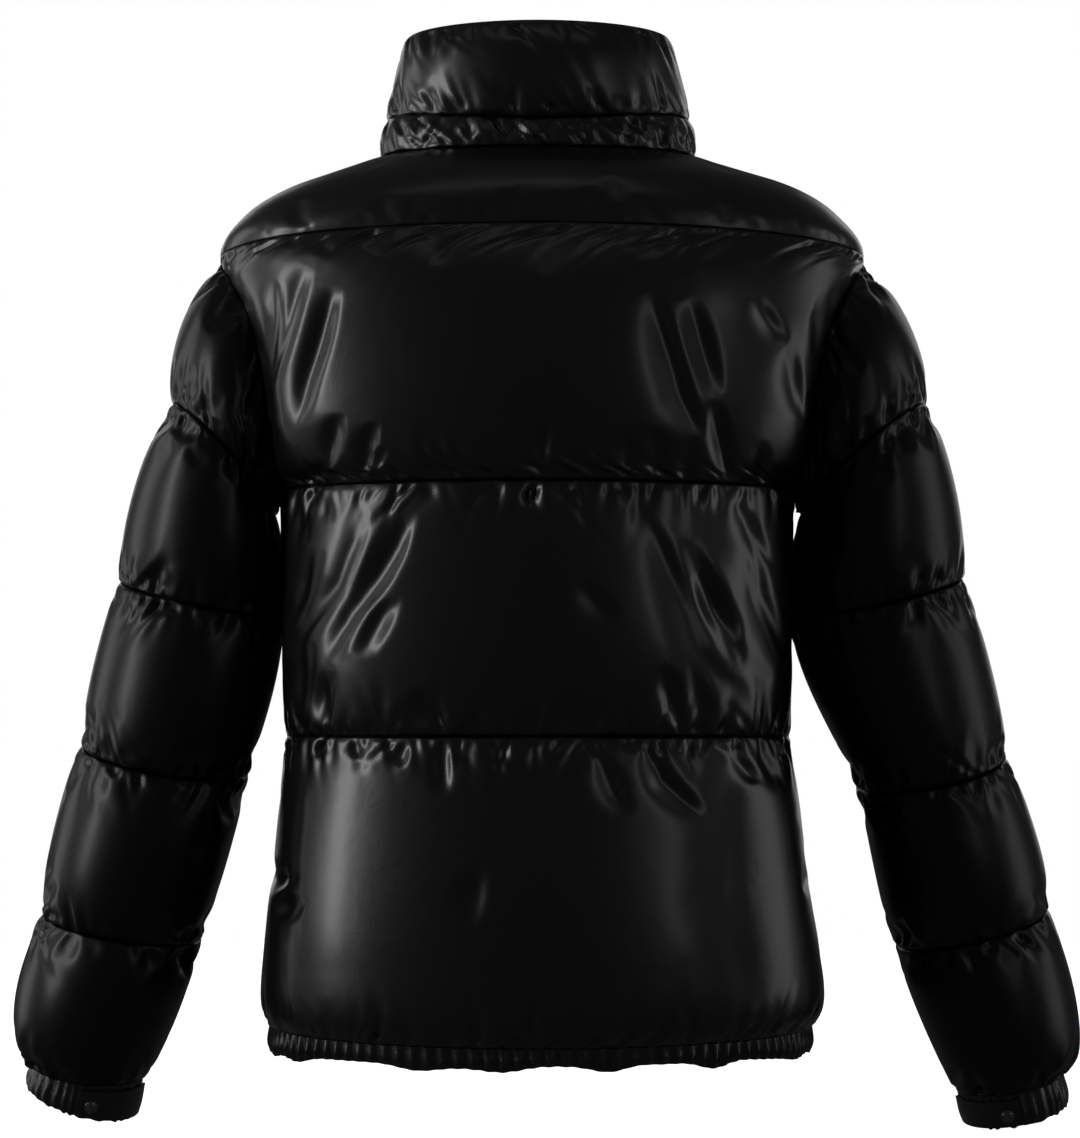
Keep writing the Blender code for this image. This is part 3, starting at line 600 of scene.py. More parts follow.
@dataclass(frozen=True)
class Gathers:
    """Puckers where cloth is gathered into a seam, uneven in place, length and depth."""

    spacing: float = 0.014
    depth: tuple[float, float] = (0.0003, 0.0016)
    length: tuple[float, float] = (0.006, 0.020)
    half_width: tuple[float, float] = (0.0030, 0.0055)
    lean: float = 0.4

    def at(self, rng: np.random.Generator, along: Grid, off: Grid, total: float) -> Grid:
        """Their depth.

        Args:
            rng: the source of their unevenness.
            along: distance along the seam.
            off: distance from the seam.
            total: the seam's length.

        Returns:
            Depths in metres.
        """
        depth = np.zeros_like(along)
        for _ in range(max(2, int(total / self.spacing))):
            centre, deep = rng.uniform(0, total), rng.uniform(*self.depth)
            long, wide = rng.uniform(*self.length), rng.uniform(*self.half_width)
            s = (along - centre - rng.normal(0, self.lean) * off) / (wide * (1 + off / long * 0.6))
            depth += deep * (1 - 0.5 * s**2) * np.exp(-0.5 * s**2) * np.exp(-((off / long) ** 2))
        return depth


PUCKERS = Gathers(0.0052, (0.0003, 0.0024), (0.004, 0.028), (0.0018, 0.0036), 0.40)
CRISPNESS = 0.40  # how much of its creases the filled cloth keeps sharp


@dataclass
class Baffle:
    """A padded panel: its outer cloth is blown up and settles between sewn edges."""

    name: str
    point: PointOf
    normal: PointOf
    v_span: tuple[float, float]
    swell: Callable[[Grid, Grid], Grid]
    closed: bool = False
    fill: float = 0.8
    puff: float = 3.0
    slack: float = 0.018
    seed: int = 1
    taut: float = 0.0
    gathers: Gathers = field(default_factory=Gathers)
    puckers: Gathers = PUCKERS
    cloth: Finish = NYLON
    outer: bpy.types.Object | None = None

    def lay(self, step: float) -> tuple[Grid, Grid, Grid]:
        """Lay a grid over the panel, drawn in a little at its seams.

        Args:
            step: about how far apart its points are.

        Returns:
            Places, ways out and swell.
        """
        u_end = 2 * math.pi if self.closed else 1.0
        probe_v = np.linspace(*self.v_span, 12)[:, None]
        probe_u = np.linspace(0, u_end, 25)[None]
        probe = self.point(*np.broadcast_arrays(probe_u, probe_v))
        width = np.linalg.norm(np.diff(probe, axis=1), axis=-1).sum(1).max()
        height = np.linalg.norm(np.diff(probe, axis=0), axis=-1).sum(0).max()
        columns = max(8, round(width / step))
        rows = max(5, round(height / step) + 1)
        us = np.linspace(0, u_end, columns, endpoint=not self.closed)
        u, v = np.broadcast_arrays(us[None], np.linspace(*self.v_span, rows)[:, None])
        places = self.point(u, v).copy()
        for edge, inside in ((0, 1), (-1, -2)):
            run = places[inside] - places[edge]
            places[edge] += run / np.linalg.norm(run, axis=-1, keepdims=True) * SEAM_GAP / 2
            if not self.closed:
                run = places[:, inside] - places[:, edge]
                places[:, edge] += run / np.linalg.norm(run, axis=-1, keepdims=True) * SEAM_GAP / 2
        return places, self.normal(u, v), self.swell(u, v)

    def turned(self, places: Grid, normals: Grid) -> bool:
        """Find whether the grid's faces have to be turned round to face outwards.

        Args:
            places: the grid.
            normals: the ways out there.

        Returns:
            True where they have to be.
        """
        j, i = places.shape[0] // 2, places.shape[1] // 2
        way = np.cross(places[j + 1, i] - places[j, i], places[j, i + 1] - places[j, i])
        return bool(way @ normals[j, i] < 0)

    def build(self) -> bpy.types.Object:
        """Make the outer cloth as it is cut and gathered, before it is blown up.

        Returns:
            The cloth.
        """
        rng = np.random.default_rng(self.seed)
        places, normals, swell = self.lay(CLOTH_STEP)
        rows, columns = swell.shape
        along = np.zeros(swell.shape)
        along[:, 1:] = np.cumsum(np.linalg.norm(np.diff(places, axis=1), axis=-1), axis=1)
        down = np.zeros(swell.shape)
        down[1:] = np.cumsum(np.linalg.norm(np.diff(places, axis=0), axis=-1), axis=0)
        total = float(along.max())
        depth = crease_depth(CREASES.get(self.name, ()), places[..., 0], places[..., 2])
        depth = depth + self.gathers.at(rng, along, down, total)
        depth = depth + self.gathers.at(rng, along, down[-1] - down, total)
        out = SEAM_WALL / 2 + swell - np.minimum(depth, swell * 0.95) * np.clip(swell / 0.006, 0, 1)
        points = places + normals * out[..., None]
        faces = grid_faces(rows, columns, self.closed, turned=self.turned(places, normals))
        self.outer = mesh_object(self.name + "_cloth", points, faces, self.cloth)
        self.mark("above", along, down)
        self.mark("below", along, down[-1] - down)
        pins = self.outer.vertex_groups.new(name="sewn")
        edge = np.zeros(swell.shape, bool)
        edge[[0, -1]] = True
        if not self.closed:
            edge[:, [0, -1]] = True
        pins.add(np.flatnonzero(edge.ravel()).tolist(), 1.0, "REPLACE")
        if self.taut:
            snug = self.outer.vertex_groups.new(name="taut")
            weight = (self.taut * (TAUT_WEIGHT - np.abs(places[..., 0]) / TAUT_REACH)).clip(0, 1).ravel()
            for k, value in enumerate(weight.tolist()):
                snug.add([k], value, "REPLACE")
        return self.outer

    def mark(self, name: str, along: Grid, off: Grid) -> None:
        """Keep each place's distances from a seam, for the small puckers.

        Args:
            name: the layer that keeps them.
            along: distances along the seam.
            off: distances off it.
        """
        columns = along.shape[1]
        corners = np.empty(len(self.outer.data.loops), np.int32)
        self.outer.data.loops.foreach_get("vertex_index", corners)
        corners = corners.reshape(-1, 4)
        places = np.stack((along, off), -1).reshape(-1, 2)[corners]
        if self.closed:
            last = corners[:, :1] % columns == columns - 1
            joined = last & (corners % columns == 0)
            places[..., 0] = np.where(joined, float(along.max()) + CLOTH_STEP, places[..., 0])
        layer = self.outer.data.uv_layers.new(name=name)
        layer.data.foreach_set("uv", places.astype(np.float32).ravel())

    def pucker(self, cloth: bpy.types.Mesh) -> None:
        """Press the small puckers into the settled cloth beside its seams.

        Args:
            cloth: the settled cloth's mesh.
        """
        rng = np.random.default_rng(500 + self.seed)
        count, corners = len(cloth.vertices), np.empty(len(cloth.loops), np.int32)
        cloth.loops.foreach_get("vertex_index", corners)
        places, ways = np.empty(count * 3, np.float32), np.empty(count * 3, np.float32)
        cloth.vertices.foreach_get("co", places)
        cloth.vertex_normals.foreach_get("vector", ways)
        depth = np.zeros(count)
        for name in ("above", "below"):
            corner = np.empty(len(corners) * 2, np.float32)
            cloth.uv_layers[name].data.foreach_get("uv", corner)
            spot = np.zeros((count, 2))
            spot[corners] = corner.reshape(-1, 2)
            fade = (spot[:, 1] / SEAM_FADE).clip(0, 1)
            depth += self.puckers.at(rng, spot[:, 0], spot[:, 1], float(spot[:, 0].max())) * fade
        places = places.reshape(-1, 3)
        depth += CRISPNESS * crease_depth(CREASES.get(self.name, ()), places[:, 0], places[:, 2])
        places = places - ways.reshape(-1, 3) * depth[:, None]
        cloth.vertices.foreach_set("co", places.astype(np.float32).ravel())
        for name in ("above", "below"):
            cloth.uv_layers.remove(cloth.uv_layers[name])

    def inflate(self) -> None:
        """Let the filling blow the cloth up between its seams."""
        cloth = self.outer.modifiers.new("blow up", "CLOTH")
        settings = cloth.settings
        settings.quality = 4
        settings.mass = 0.15
        settings.tension_stiffness = settings.compression_stiffness = 12
        settings.shear_stiffness = 4
        settings.bending_stiffness = 3.0
        settings.air_damping = 2
        settings.effector_weights.gravity = 0
        settings.use_pressure = True
        settings.uniform_pressure_force = self.puff
        settings.shrink_min = -self.slack
        settings.vertex_group_mass = "sewn"
        if self.taut:
            settings.shrink_max = 0.0
            settings.vertex_group_shrink = "taut"
        settings.pin_stiffness = 1
        cloth.point_cache.frame_start, cloth.point_cache.frame_end = 1, SETTLE_FRAMES

    def finish(self, nodes: Sequence[str]) -> bpy.types.Object:
        """Join the settled cloth, the lining side and the sewn edges between them.

        Args:
            nodes: the CAD nodes that the panel stands for.

        Returns:
            The panel.
        """
        graph = bpy.context.evaluated_depsgraph_get()
        settled = np.empty(len(self.outer.data.vertices) * 3)
        self.outer.evaluated_get(graph).data.vertices.foreach_get("co", settled)
        self.outer.modifiers.clear()
        self.outer.data.vertices.foreach_set("co", settled)
        smooth = self.outer.modifiers.new("smooth", "SUBSURF")
        smooth.levels = smooth.render_levels = 1
        fine = bpy.data.meshes.new_from_object(self.outer.evaluated_get(bpy.context.evaluated_depsgraph_get()))
        bpy.data.objects.remove(self.outer, do_unlink=True)
        self.pucker(fine)
        places, normals, swell = self.lay(LINING_STEP)
        rows, columns = swell.shape
        faces = grid_faces(rows, columns, self.closed, turned=not self.turned(places, normals))
        lining = places - normals * (SEAM_WALL / 2 + swell * INNER_SHARE)[..., None]
        shape = bmesh.new()
        shape.from_mesh(fine)
        self.wrap_edges(shape)
        extra = bpy.data.meshes.new("lining")
        extra.from_pydata(lining.reshape(-1, 3).tolist(), [], faces)
        shape.from_mesh(extra)
        whole = bpy.data.meshes.new(self.name)
        shape.to_mesh(whole)
        shape.free()
        whole.materials.clear()
        whole.materials.append(self.cloth.material())
        whole.shade_smooth()
        made = bpy.data.objects.new("jacket_" + self.name, whole)
        bpy.context.scene.collection.objects.link(made)
        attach(made, "jacket")
        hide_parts(*nodes)
        LOG.info("%s: %d faces", made.name, len(whole.polygons))
        return made

    def wrap_edges(self, shape: bmesh.types.BMesh) -> None:
        """Fold the cloth's open edges in by the sewn wall's thickness.

        Args:
            shape: the settled cloth.
        """
        shape.normal_update()
        rim = [e for e in shape.edges if e.is_boundary]
        normals = {v: v.normal.copy() for e in rim for v in e.verts}
        extruded = bmesh.ops.extrude_edge_only(shape, edges=rim)["geom"]
        fresh = [g for g in extruded if isinstance(g, bmesh.types.BMVert)]
        by_place = {tuple(round(c, 7) for c in v.co): n for v, n in normals.items()}
        for vert in fresh:
            key = tuple(round(c, 7) for c in vert.co)
            vert.co = vert.co - by_place.get(key, vert.normal).normalized() * SEAM_WALL


@dataclass
class Body:
    """The body's quilted panels and its hem band."""

    face_swell: float = 0.0150
    side_swell: float = 0.0042
    yoke_face_swell: float = 0.0065
    yoke_side_swell: float = 0.0020
    spans: dict[str, tuple[int, int]] = field(
        default_factory=lambda: {"yoke": (0, 1), "upper": (1, 2), "middle": (2, 3), "lower": (3, 4)}
    )

    def around(self, sign: int, u: Grid, row: Grid) -> Grid:
        """Find a panel's places around the body.

        Args:
            sign: 0 for the back, 1 for the front left, -1 for the front right.
            u: places across the panel.
            row: the body row.

        Returns:
            The `around` of body_point.
        """
        if not sign:
            return 2 * u - 1
        return sign * (1 + (front_edge(row, body_point) - 1) * u + 1e-6)

    def baffle(self, part: str, sign: int, seed: int) -> Baffle:
        """Lay out one panel.

        Args:
            part: which of the spans it fills.
            sign: 0 for the back, 1 for the front left, -1 for the front right.
            seed: the source of its unevenness.

        Returns:
            The panel, still to be built.
        """
        span = self.spans[part]
        yoke = part == "yoke"
        face, side = (
            (self.yoke_face_swell, self.yoke_side_swell) if yoke else (self.face_swell, self.side_swell)
        )

        def point(u: Grid, row: Grid) -> Grid:
            """Its wall."""
            return body_point(self.around(sign, u, row), row)

        def normal(u: Grid, row: Grid) -> Grid:
            """The way out of it."""
            return outward(body_point, self.around(sign, u, row), np.clip(row, 2 * STEP, 5 - 2 * STEP), False)

        def swell(u: Grid, row: Grid) -> Grid:
            """Its outward swell at places across (u) and down (row), in metres."""
            share = np.abs(self.around(sign, u, row))
            facing = np.cos(np.minimum(share, 2 - share) * math.pi / 2).clip(0, 1)
            pinch = (np.minimum(u, 1 - u) / PANEL_PINCH).clip(0, 1) ** 0.5
            return (side + (face - side) * facing**0.7) * crown((row - span[0]) / (span[1] - span[0])) * pinch

        name = f"back_{part}" if not sign else f"front_{part}_{'left' if sign > 0 else 'right'}"
        broad = Gathers(spacing=0.05, depth=(0.0004, 0.0014), length=(0.006, 0.018))
        light = Gathers(0.016, (0.0002, 0.0008), (0.003, 0.010), (0.0018, 0.0034), 0.3)
        return Baffle(
            name,
            point,
            normal,
            span,
            swell,
            fill=0.6 if yoke else 0.85,
            puff=0.6 if yoke else 2.2,
            slack=0.002 if yoke else 0.006,
            taut=0.0 if yoke else 0.9,
            seed=seed,
            gathers=broad if yoke else Gathers(),
            puckers=light if yoke else PUCKERS,
        )

    def hem(self) -> None:
        """Sew the elasticated band to the body's lower edge."""

        def around(u: Grid, row: Grid) -> Grid:
            """The place around the body."""
            return front_edge(row, body_point) * (2 * u - 1)

        def point(u: Grid, row: Grid) -> Grid:
            """The band's line."""
            return body_point(around(u, row), row)

        def normal(u: Grid, row: Grid) -> Grid:
            """The way out of it."""
            return outward(body_point, around(u, row), np.clip(row, 2 * STEP, 5 - 2 * STEP), False)

        Band(
            "hem_band", point, normal, (4.0, 5.0), ELASTIC, "elastic", (1.08, 0.018), ("jacket_back_lower",),
            ripple=0.0019, pitch=0.0098, sag=0.0045,
        ).build()


@dataclass
class Sleeve:
    """A sleeve's five quilted tubes."""

    side: Side
    face_swell: float = 0.0115
    outer_swell: float = 0.0055
    inner_swell: tuple[float, ...] = (0.0004, 0.0034, 0.0012, 0.0012, 0.0012)

    def point(self, angle: Grid, ring: Grid) -> Grid:
        """Its wall."""
        return sleeve_point(self.side, angle, ring)

    def normal(self, angle: Grid, ring: Grid) -> Grid:
        """The way out of it."""
        ring = np.clip(ring, 2 * STEP, 6 - 2 * STEP)
        return outward(self.point, angle, ring, self.side is Side.LEFT)

    def baffle(self, number: int, seed: int) -> Baffle:
        """Lay out one tube.

        Args:
            number: 1 for the tube sewn into the armhole, 5 for the one at the cuff.
            seed: the source of its unevenness.

        Returns:
            The tube, still to be built.
        """
        start = number - 1

        def swell(angle: Grid, ring: Grid) -> Grid:
            """Its outward swell at places round (angle) and down (ring), in metres."""
            faces, outer = np.sin(angle) ** 2, np.cos(angle) > 0
            inner = self.inner_swell[number - 1]
            edge = np.where(outer, self.outer_swell, inner)
            return (edge + (self.face_swell - edge) * faces) * crown(ring - start)

        full = Gathers(0.0075, (0.0006, 0.0034), (0.006, 0.022), (0.0022, 0.0048))
        return Baffle(
            f"sleeve_{number}_{self.side.value}",
            self.point,
            self.normal,
            (start, number),
            swell,
            closed=True,
            cloth=SLEEVE_NYLON,
            puff=2.2,
            slack=0.022,
            seed=seed,
            gathers=full,
        )


@dataclass
class Collar:
    """The tall padded collar and the narrow stand under it."""

    swell_upper: float = 0.0100
    swell_side: float = 0.0025
    swell_stand: float = 0.0034

    def around(self, u: Grid, row: Grid) -> Grid:
        """The place around the neck for a panel's own u."""
        return front_edge(row, collar_point) * (2 * u - 1)

    def baffle(self, name: str, span: tuple[float, float], face: float, seed: int) -> Baffle:
        """Lay out one band of the collar.

        Args:
            name: what it is called.
            span: its upper and lower rows.
            face: how far it swells at the back and front.
            seed: the source of its unevenness.

        Returns:
            The band, still to be built.
        """

        def point(u: Grid, row: Grid) -> Grid:
            """Its wall."""
            return collar_point(self.around(u, row), row)

        def normal(u: Grid, row: Grid) -> Grid:
            """The way out of it."""
            return outward(collar_point, self.around(u, row), np.clip(row, 2 * STEP, 2 - 2 * STEP), False)

        def swell(u: Grid, row: Grid) -> Grid:
            """Its outward swell at places across (u) and down (row), in metres."""
            pinch = (np.minimum(u, 1 - u) / COLLAR_PINCH).clip(0, 1) ** 0.5
            share = np.abs(self.around(u, row))
            facing = np.cos(np.minimum(share, 2 - share) * math.pi / 2).clip(0, 1) ** 2
            amount = self.swell_side + (face - self.swell_side) * facing
            return amount * crown((row - span[0]) / (span[1] - span[0])) * pinch

        light = Gathers(spacing=0.022, depth=(0.0004, 0.0018), length=(0.006, 0.020))
        return Baffle(name, point, normal, span, swell, puff=1.5, slack=0.015, seed=seed, gathers=light)


@dataclass
class Band:
    """An elasticated or plain strip, rippled by its gathers."""

    name: str
    point: PointOf
    normal: PointOf
    v_span: tuple[float, float]
    finish: Finish
    slot: str
    flat: tuple[float, float]
    rests_on: tuple[str, ...]
    closed: bool = False
    wall: float = 0.0028
    ripple: float = 0.0013
    pitch: float = 0.0085
    lift: float = 0.0
    bulge: float = 0.0015
    sag: float = 0.0
    u_span: tuple[float, float] = (0.0, 1.0)
    rows: int = 11
    seed: int = 5

    def build(self) -> bpy.types.Object:
        """Make the strip, closed all round.

        Returns:
            The strip.
        """
        rng = np.random.default_rng(self.seed)
        probe_u = np.linspace(*self.u_span, 60)
        probe = self.point(probe_u, 0 * probe_u + self.v_span[0])
        length = float(np.linalg.norm(np.diff(probe, axis=0), axis=-1).sum())
        columns = max(12, int(length / BAND_STEP))
        us = np.linspace(*self.u_span, columns, endpoint=not self.closed)
        u, v = np.broadcast_arrays(us[None], np.linspace(*self.v_span, self.rows)[:, None])
        t = (v - self.v_span[0]) / (self.v_span[1] - self.v_span[0])
        turns = max(1, round(length / self.pitch))
        share = (u - self.u_span[0]) / (self.u_span[1] - self.u_span[0])
        wobble = sum(
            rng.uniform(0.2, 0.5) * np.sin(2 * math.pi * (k * share + rng.uniform())) for k in (3, 5, 9)
        )
        wave = np.sin(2 * math.pi * turns * share + 2.2 * wobble + 0.5 * np.sin(3 * t))
        height = self.ripple * wave * (0.75 + 0.25 * np.cos(2 * math.pi * (7 * share + rng.uniform())))
        height = height * (0.35 + 0.65 * np.sin(math.pi * t)) + self.bulge * np.sin(math.pi * t)
        places, ways = self.point(u, v).copy(), self.normal(u, v)
        places[..., 2] -= self.sag * t * (0.5 + 0.5 * np.sin(8 * wobble))
        outer = places + ways * (self.lift + self.wall / 2 + height)[..., None]
        inner = places + ways * (self.lift - self.wall / 2 + height)[..., None]
        points = np.concatenate((outer.reshape(-1, 3), inner.reshape(-1, 3)))
        made = mesh_object("jacket_" + self.name, points, self.faces(columns), self.finish)
        made.data.set_sharp_from_angle(angle=math.radians(50))
        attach(made, "jacket")
        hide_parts(self.name)
        "gathered" if self.ripple > 0.0005 else "stretched"
        LOG.info("%s: %d faces", made.name, len(made.data.polygons))
        return made

    def faces(self, columns: int) -> Faces:
        """Join the strip's outer points, its inner points and its edges.

        Args:
            columns: how many points it has along its length.

        Returns:
            The faces.
        """
        rows, half = self.rows, self.rows * columns
        low = half - columns
        faces = grid_faces(rows, columns, self.closed)
        faces += grid_faces(rows, columns, self.closed, start=half, turned=True)
        for i in range(columns if self.closed else columns - 1):
            k = (i + 1) % columns
            faces += [(i, k, k + half, i + half), (low + k, low + i, low + i + half, low + k + half)]
        if not self.closed:
            for j in range(rows - 1):
                a, d = j * columns, (j + 1) * columns
                b, c = a + columns - 1, d + columns - 1
                faces += [(d, a, a + half, d + half), (b, c, c + half, b + half)]
        return faces


@dataclass
class Snap:
    """A plain domed snap cap on a cuff tab."""

    side: Side
    radius: float = 0.0050
    height: float = 0.0021

    def build(self, foot: Grid, way: Grid) -> bpy.types.Object:
        """Turn the cap.

        Args:
            foot: the middle of its underside.
            way: the way that it faces.

        Returns:
            The cap.
        """
        profile = (
            (1.00, 0.00), (1.00, 0.35), (0.97, 0.52), (0.90, 0.60), (0.84, 0.55), (0.80, 0.50),
            (0.76, 0.55), (0.66, 0.78), (0.45, 0.93), (0.22, 0.99), (0.02, 1.00),
        )
        sides = 48
        across = np.cross(way, (0.0, 0.0, 1.0))
        across /= np.linalg.norm(across)
        up = np.cross(across, way)
        turn = np.linspace(0, 2 * math.pi, sides, endpoint=False)
        ring = np.cos(turn)[:, None] * across + np.sin(turn)[:, None] * up
        points = np.stack([foot + way * h * self.height + ring * r * self.radius for r, h in profile])
        faces = grid_faces(len(profile), sides, True)
        faces += [tuple(range(sides)), tuple(range((len(profile) - 1) * sides, len(profile) * sides))[::-1]]
        made = mesh_object(f"jacket_cuff_snap_{self.side.value}", points, faces, METAL)
        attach(made, "jacket")
        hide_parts(f"cuff_snap_{self.side.value}")
        LOG.info("%s", made.name)
        return made


@dataclass
class Cuffs:
    """The cuff of each sleeve: a gathered band, a plain tab over it and the tab's snap."""

    tab_start: float = math.radians(92)
    tab_end: float = math.radians(178)
    tab_wall: float = 0.0018
    snap_share: float = 0.16
    band_flat: tuple[float, float] = (0.24, 0.022)
    tab_flat: tuple[float, float] = (0.062, 0.019)

    def build(self, sleeve: Sleeve) -> None:
        """Make the cuff of one sleeve.

        Args:
            sleeve: the sleeve.
        """
        side = sleeve.side
        name = side.value
        Band(
            f"cuff_band_{name}", sleeve.point, sleeve.normal, (5.0, 6.0), ELASTIC, "elastic",
            self.band_flat, (f"jacket_sleeve_5_{name}",), closed=True, u_span=(0, 2 * math.pi),
            pitch=0.0075, seed=8 + side.sign, sag=0.0015,
        ).build()
        lift = 0.0015 + 0.0014 + self.tab_wall / 2
        Band(
            f"cuff_tab_{name}", sleeve.point, sleeve.normal, (5.10, 5.96), NYLON, "shell",
            self.tab_flat, (f"jacket_cuff_band_{name}",), wall=self.tab_wall, ripple=0.0, lift=lift,
            u_span=(self.tab_start, self.tab_end), bulge=0.0008,
        ).build()
        place = np.array(self.tab_start + (self.tab_end - self.tab_start) * self.snap_share), np.array(5.53)
        way = sleeve.normal(*place)
        foot = sleeve.point(*place) + way * (lift + self.tab_wall / 2 + 0.0006)
        Snap(side).build(foot, way)


@dataclass
class Zip:
    """The closed centre-front zip: two tapes, its teeth, the slider and its pull tab."""

    tape_outer: float = 0.0128
    tape_wall: float = 0.0011
    pitch: float = 0.0026
    top: float = 0.0100
    points: int = 140

    def line(self) -> tuple[Grid, Grid]:
        """Follow the centre front down.

        Returns:
            Evenly spaced points, and the ways out there.
        """
        collar = collar_point(np.full(12, 2.0), np.linspace(0, 1.97, 12))
        body = body_point(np.full(48, 2.0), np.linspace(0.02, 5, 48))
        points = np.concatenate((collar, body)) * (0, 1, 1)
        far = np.concatenate(((0,), np.cumsum(np.linalg.norm(np.diff(points, axis=0), axis=-1))))
        even = np.linspace(self.top, far[-1], self.points)
        points = np.stack([np.interp(even, far, points[:, k]) for k in range(3)], -1)
        ways = np.cross((-1.0, 0.0, 0.0), np.gradient(points, axis=0))
        return points, ways / np.linalg.norm(ways, axis=-1, keepdims=True)

    def build(self) -> None:
        """The tapes and teeth."""
        points, ways = self.line()
        for side in Side:
            edges = (0.0004, self.tape_outer)
            outer = np.stack([points + (side.sign * x, 0, 0) + ways * self.tape_wall / 2 for x in edges], 1)
            inner = outer - ways[:, None] * self.tape_wall
            rows = len(points)
            strip = np.stack((outer[:, 0], outer[:, 1], inner[:, 1], inner[:, 0]), 1)
            faces = grid_faces(rows, 4, True, turned=side is Side.LEFT)
            faces += [(0, 1, 2, 3), tuple(range(rows * 4 - 4, rows * 4))[::-1]]
            made = mesh_object(f"jacket_zip_tape_{side.value}", strip, faces, TAPE)
            made.data.shade_flat()
            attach(made, "jacket")
            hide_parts(f"zip_tape_{side.value}")
            teeth = self.teeth(side, points, ways)
            LOG.info("%s: %d faces", made.name, len(faces))

    def teeth(self, side: Side, points: Grid, ways: Grid) -> bpy.types.Object:
        """Make one side's row of teeth.

        Args:
            side: which side.
            points: places down the centre front.
            ways: the ways out there.

        Returns:
            The teeth, as one piece.
        """
        far = np.concatenate(((0,), np.cumsum(np.linalg.norm(np.diff(points, axis=0), axis=-1))))
        start = 0.0 if side is Side.LEFT else self.pitch / 2
        places = np.arange(self.top + start, far[-1] - 0.004, self.pitch)
        spots = np.stack([np.interp(places, far, points[:, k]) for k in range(3)], -1)
        out = np.stack([np.interp(places, far, ways[:, k]) for k in range(3)], -1)
        down = np.cross(out, (-1.0, 0.0, 0.0))
        corners, faces = [], []
        across, through, tall = (-0.0009, 0.0032), (-0.0011, 0.0011), (-0.00055, 0.00055)
        box = [(x, y, z) for x in across for y in through for z in tall]
        quads = ((0, 1, 3, 2), (4, 6, 7, 5), (0, 4, 5, 1), (2, 3, 7, 6), (0, 2, 6, 4), (1, 5, 7, 3))
        for spot, way, low in zip(spots, out, down):
            base = len(corners)
            corners += [spot + (side.sign * x, 0, 0) + way * y + low * z for x, y, z in box]
            faces += [tuple(base + k for k in quad) for quad in quads]
        made = mesh_object(f"jacket_zip_teeth_{side.value}", np.array(corners), faces, TEETH)
        made.data.shade_flat()
        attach(made, "jacket")
        LOG.info("%s: %d teeth", made.name, len(spots))
        return made

    def hardware(self) -> None:
        """The slider and the pull tab, on the shapes of their CAD nodes with softened edges."""
        for name, body in (("zip_slider", "jacket"), ("zip_pull", "pull_tab")):
            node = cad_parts[name]
            copy = node.data.copy()
            copy.transform(node.matrix_world)
            shape = bmesh.new()
            shape.from_mesh(copy)
            bmesh.ops.remove_doubles(shape, verts=shape.verts, dist=1e-6)
            bmesh.ops.dissolve_limit(shape, angle_limit=math.radians(1), verts=shape.verts, edges=shape.edges)
            shape.to_mesh(copy)
            shape.free()
            copy.materials.clear()
            copy.materials.append(METAL.material())
            made = bpy.data.objects.new("jacket_" + name, copy)
            bpy.context.scene.collection.objects.link(made)
            rounded = made.modifiers.new("edges", "BEVEL")
            rounded.width, rounded.segments, rounded.limit_method = 0.00025, 2, "ANGLE"
            rounded.angle_limit = math.radians(30)
            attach(made, body)
            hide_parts(name)
            LOG.info("%s", made.name)


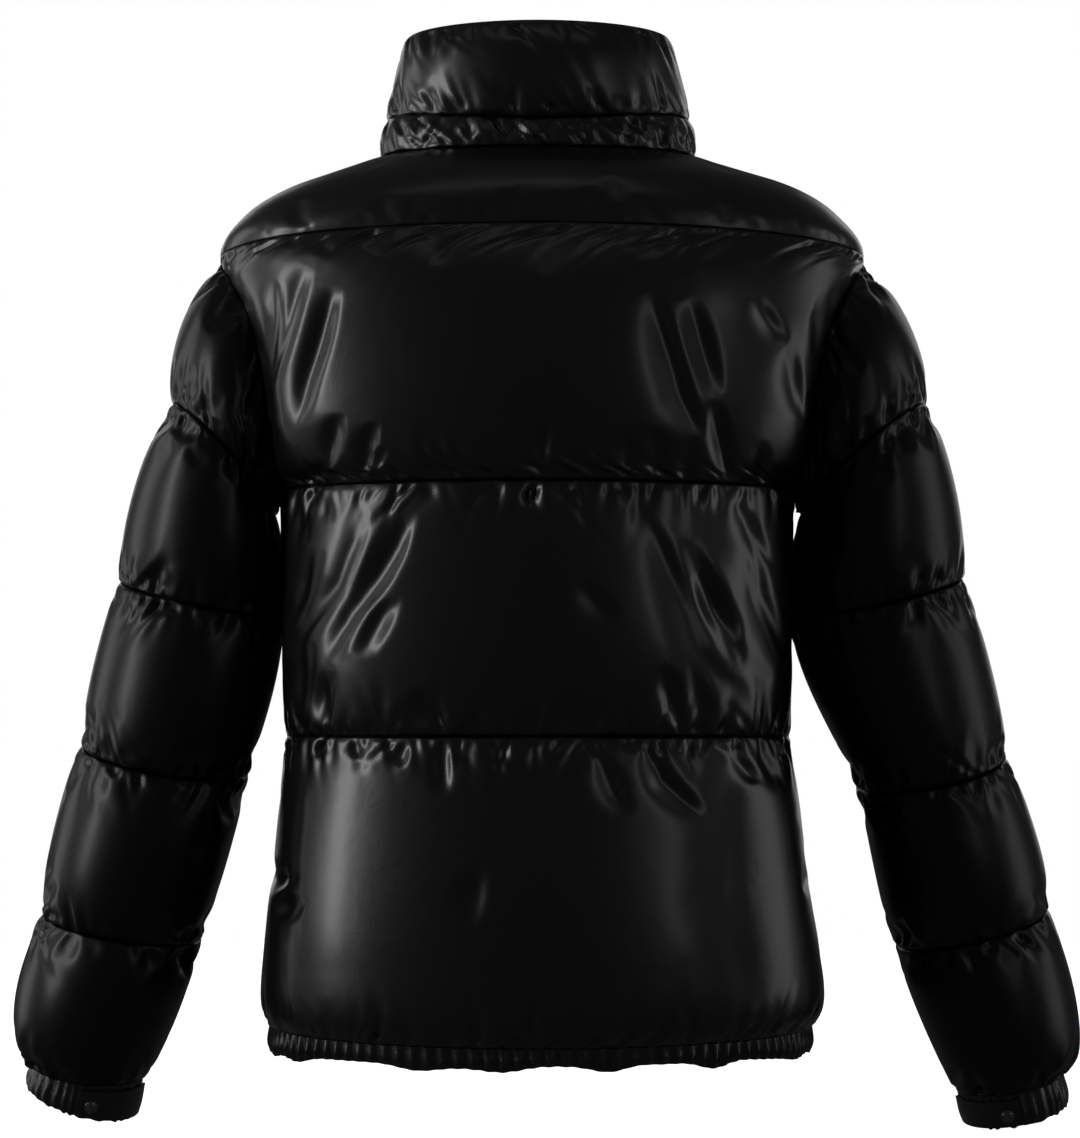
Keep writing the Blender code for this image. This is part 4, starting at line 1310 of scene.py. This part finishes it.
@dataclass
class Studio:
    """A pale floor, a white surround and soft boxes."""

    eye: tuple[float, float, float] = (-0.0015, 2.2, -0.3675)
    view_height: float = 0.8535
    rise: float = 0.0712
    floor: float = -0.745
    floor_reach: float = 1.6
    floor_back: float = 0.6
    sensor: float = 36

    def build(self) -> None:
        """Set up the light, the floor and the camera."""
        scene = bpy.context.scene
        scene.view_settings.view_transform = "Standard"
        scene.view_settings.look = "None"
        world = bpy.data.worlds.new("surround")
        scene.world = world
        world.use_nodes = True
        world.node_tree.nodes.clear()
        nodes = Nodes(world.node_tree)
        seen = nodes.add("ShaderNodeLightPath", {}, {}, out="Is Camera Ray")
        dark = nodes.add("ShaderNodeBackground", {}, {"Color": (0.055, 0.055, 0.057, 1)})
        white = nodes.add("ShaderNodeBackground", {}, {"Color": (1, 1, 1, 1)})
        mixed = nodes.add("ShaderNodeMixShader", {}, {0: seen, 1: dark, 2: white})
        nodes.add("ShaderNodeOutputWorld", {}, {0: mixed})
        self.softbox("left", (1.8, -0.6, 0.0), (0.7, 1.9), 7)
        self.softbox("left_near", (1.75, 0.65, 0.1), (0.28, 1.5), 14)
        self.softbox("right", (-1.9, 0.05, -0.1), (0.7, 1.7), 4.5)
        self.softbox("right_near", (-1.3, 1.5, 0.1), (0.3, 1.4), 1.6)
        self.softbox("above", (0.1, 0.7, 1.7), (1.5, 0.4), 0.7)
        self.softbox("front_left", (0.9, -1.95, 0.2), (0.6, 1.6), 3.5)
        self.softbox("front_right", (-1.1, -1.8, 0.2), (0.6, 1.6), 3.5)
        wide, back = self.floor_reach, self.floor_back
        corners = [(x, y, self.floor) for x, y in ((-wide, -wide), (wide, -wide), (wide, back), (-wide, back))]
        floor = mesh_object("floor", np.array(corners), [(0, 1, 2, 3)], PALE)
        floor.visible_glossy = floor.visible_diffuse = False
        camera = bpy.data.objects.new("camera", bpy.data.cameras.new("camera"))
        scene.collection.objects.link(camera)
        camera.location = self.eye
        camera.rotation_euler = (math.radians(90), 0, math.radians(180))
        camera.data.sensor_width = self.sensor
        camera.data.lens = self.sensor * self.eye[1] / self.view_height
        camera.data.shift_y = self.rise
        scene.camera = camera

    def softbox(
        self, name: str, place: tuple[float, float, float], size: tuple[float, float], power: float
    ) -> None:
        """Hang a soft box that faces the jacket's middle.

        Args:
            name: what it is called.
            place: where it hangs.
            size: its width and height.
            power: in watts.
        """
        light = bpy.data.lights.new("softbox_" + name, "AREA")
        light.shape, light.size, light.size_y, light.energy = "RECTANGLE", size[0], size[1], power
        made = bpy.data.objects.new("softbox_" + name, light)
        bpy.context.scene.collection.objects.link(made)
        made.location = place
        made.rotation_euler = (Vector((0, 0, -0.3)) - Vector(place)).to_track_quat("-Z", "Y").to_euler()


def main() -> None:
    """Build the jacket, light it and frame it."""
    logging.basicConfig(level=logging.INFO, format="%(name)s %(message)s")
    body, collar = Body(), Collar()
    sleeves = [Sleeve(side) for side in Side]
    baffles = [
        body.baffle(part, sign, 10 * k + sign) for k, part in enumerate(body.spans, 1) for sign in (0, 1, -1)
    ]
    baffles += [sleeve.baffle(n, 60 + n + 10 * sleeve.side.sign) for sleeve in sleeves for n in range(1, 6)]
    baffles.append(collar.baffle("collar_upper", (0, 1), collar.swell_upper, 91))
    baffles.append(collar.baffle("collar_stand", (1, 1.96), collar.swell_stand, 92))
    for baffle in baffles:
        baffle.build()
    for baffle in baffles:
        baffle.inflate()
    for number in range(1, SETTLE_FRAMES + 1):
        bpy.context.scene.frame_set(number)
    for baffle in baffles:
        baffle.finish((baffle.name,))
    bpy.context.scene.frame_set(1)
    body.hem()
    for sleeve in sleeves:
        Cuffs().build(sleeve)
    closure = Zip()
    closure.build()
    closure.hardware()
    Studio().build()


if __name__ == "__main__":
    main()
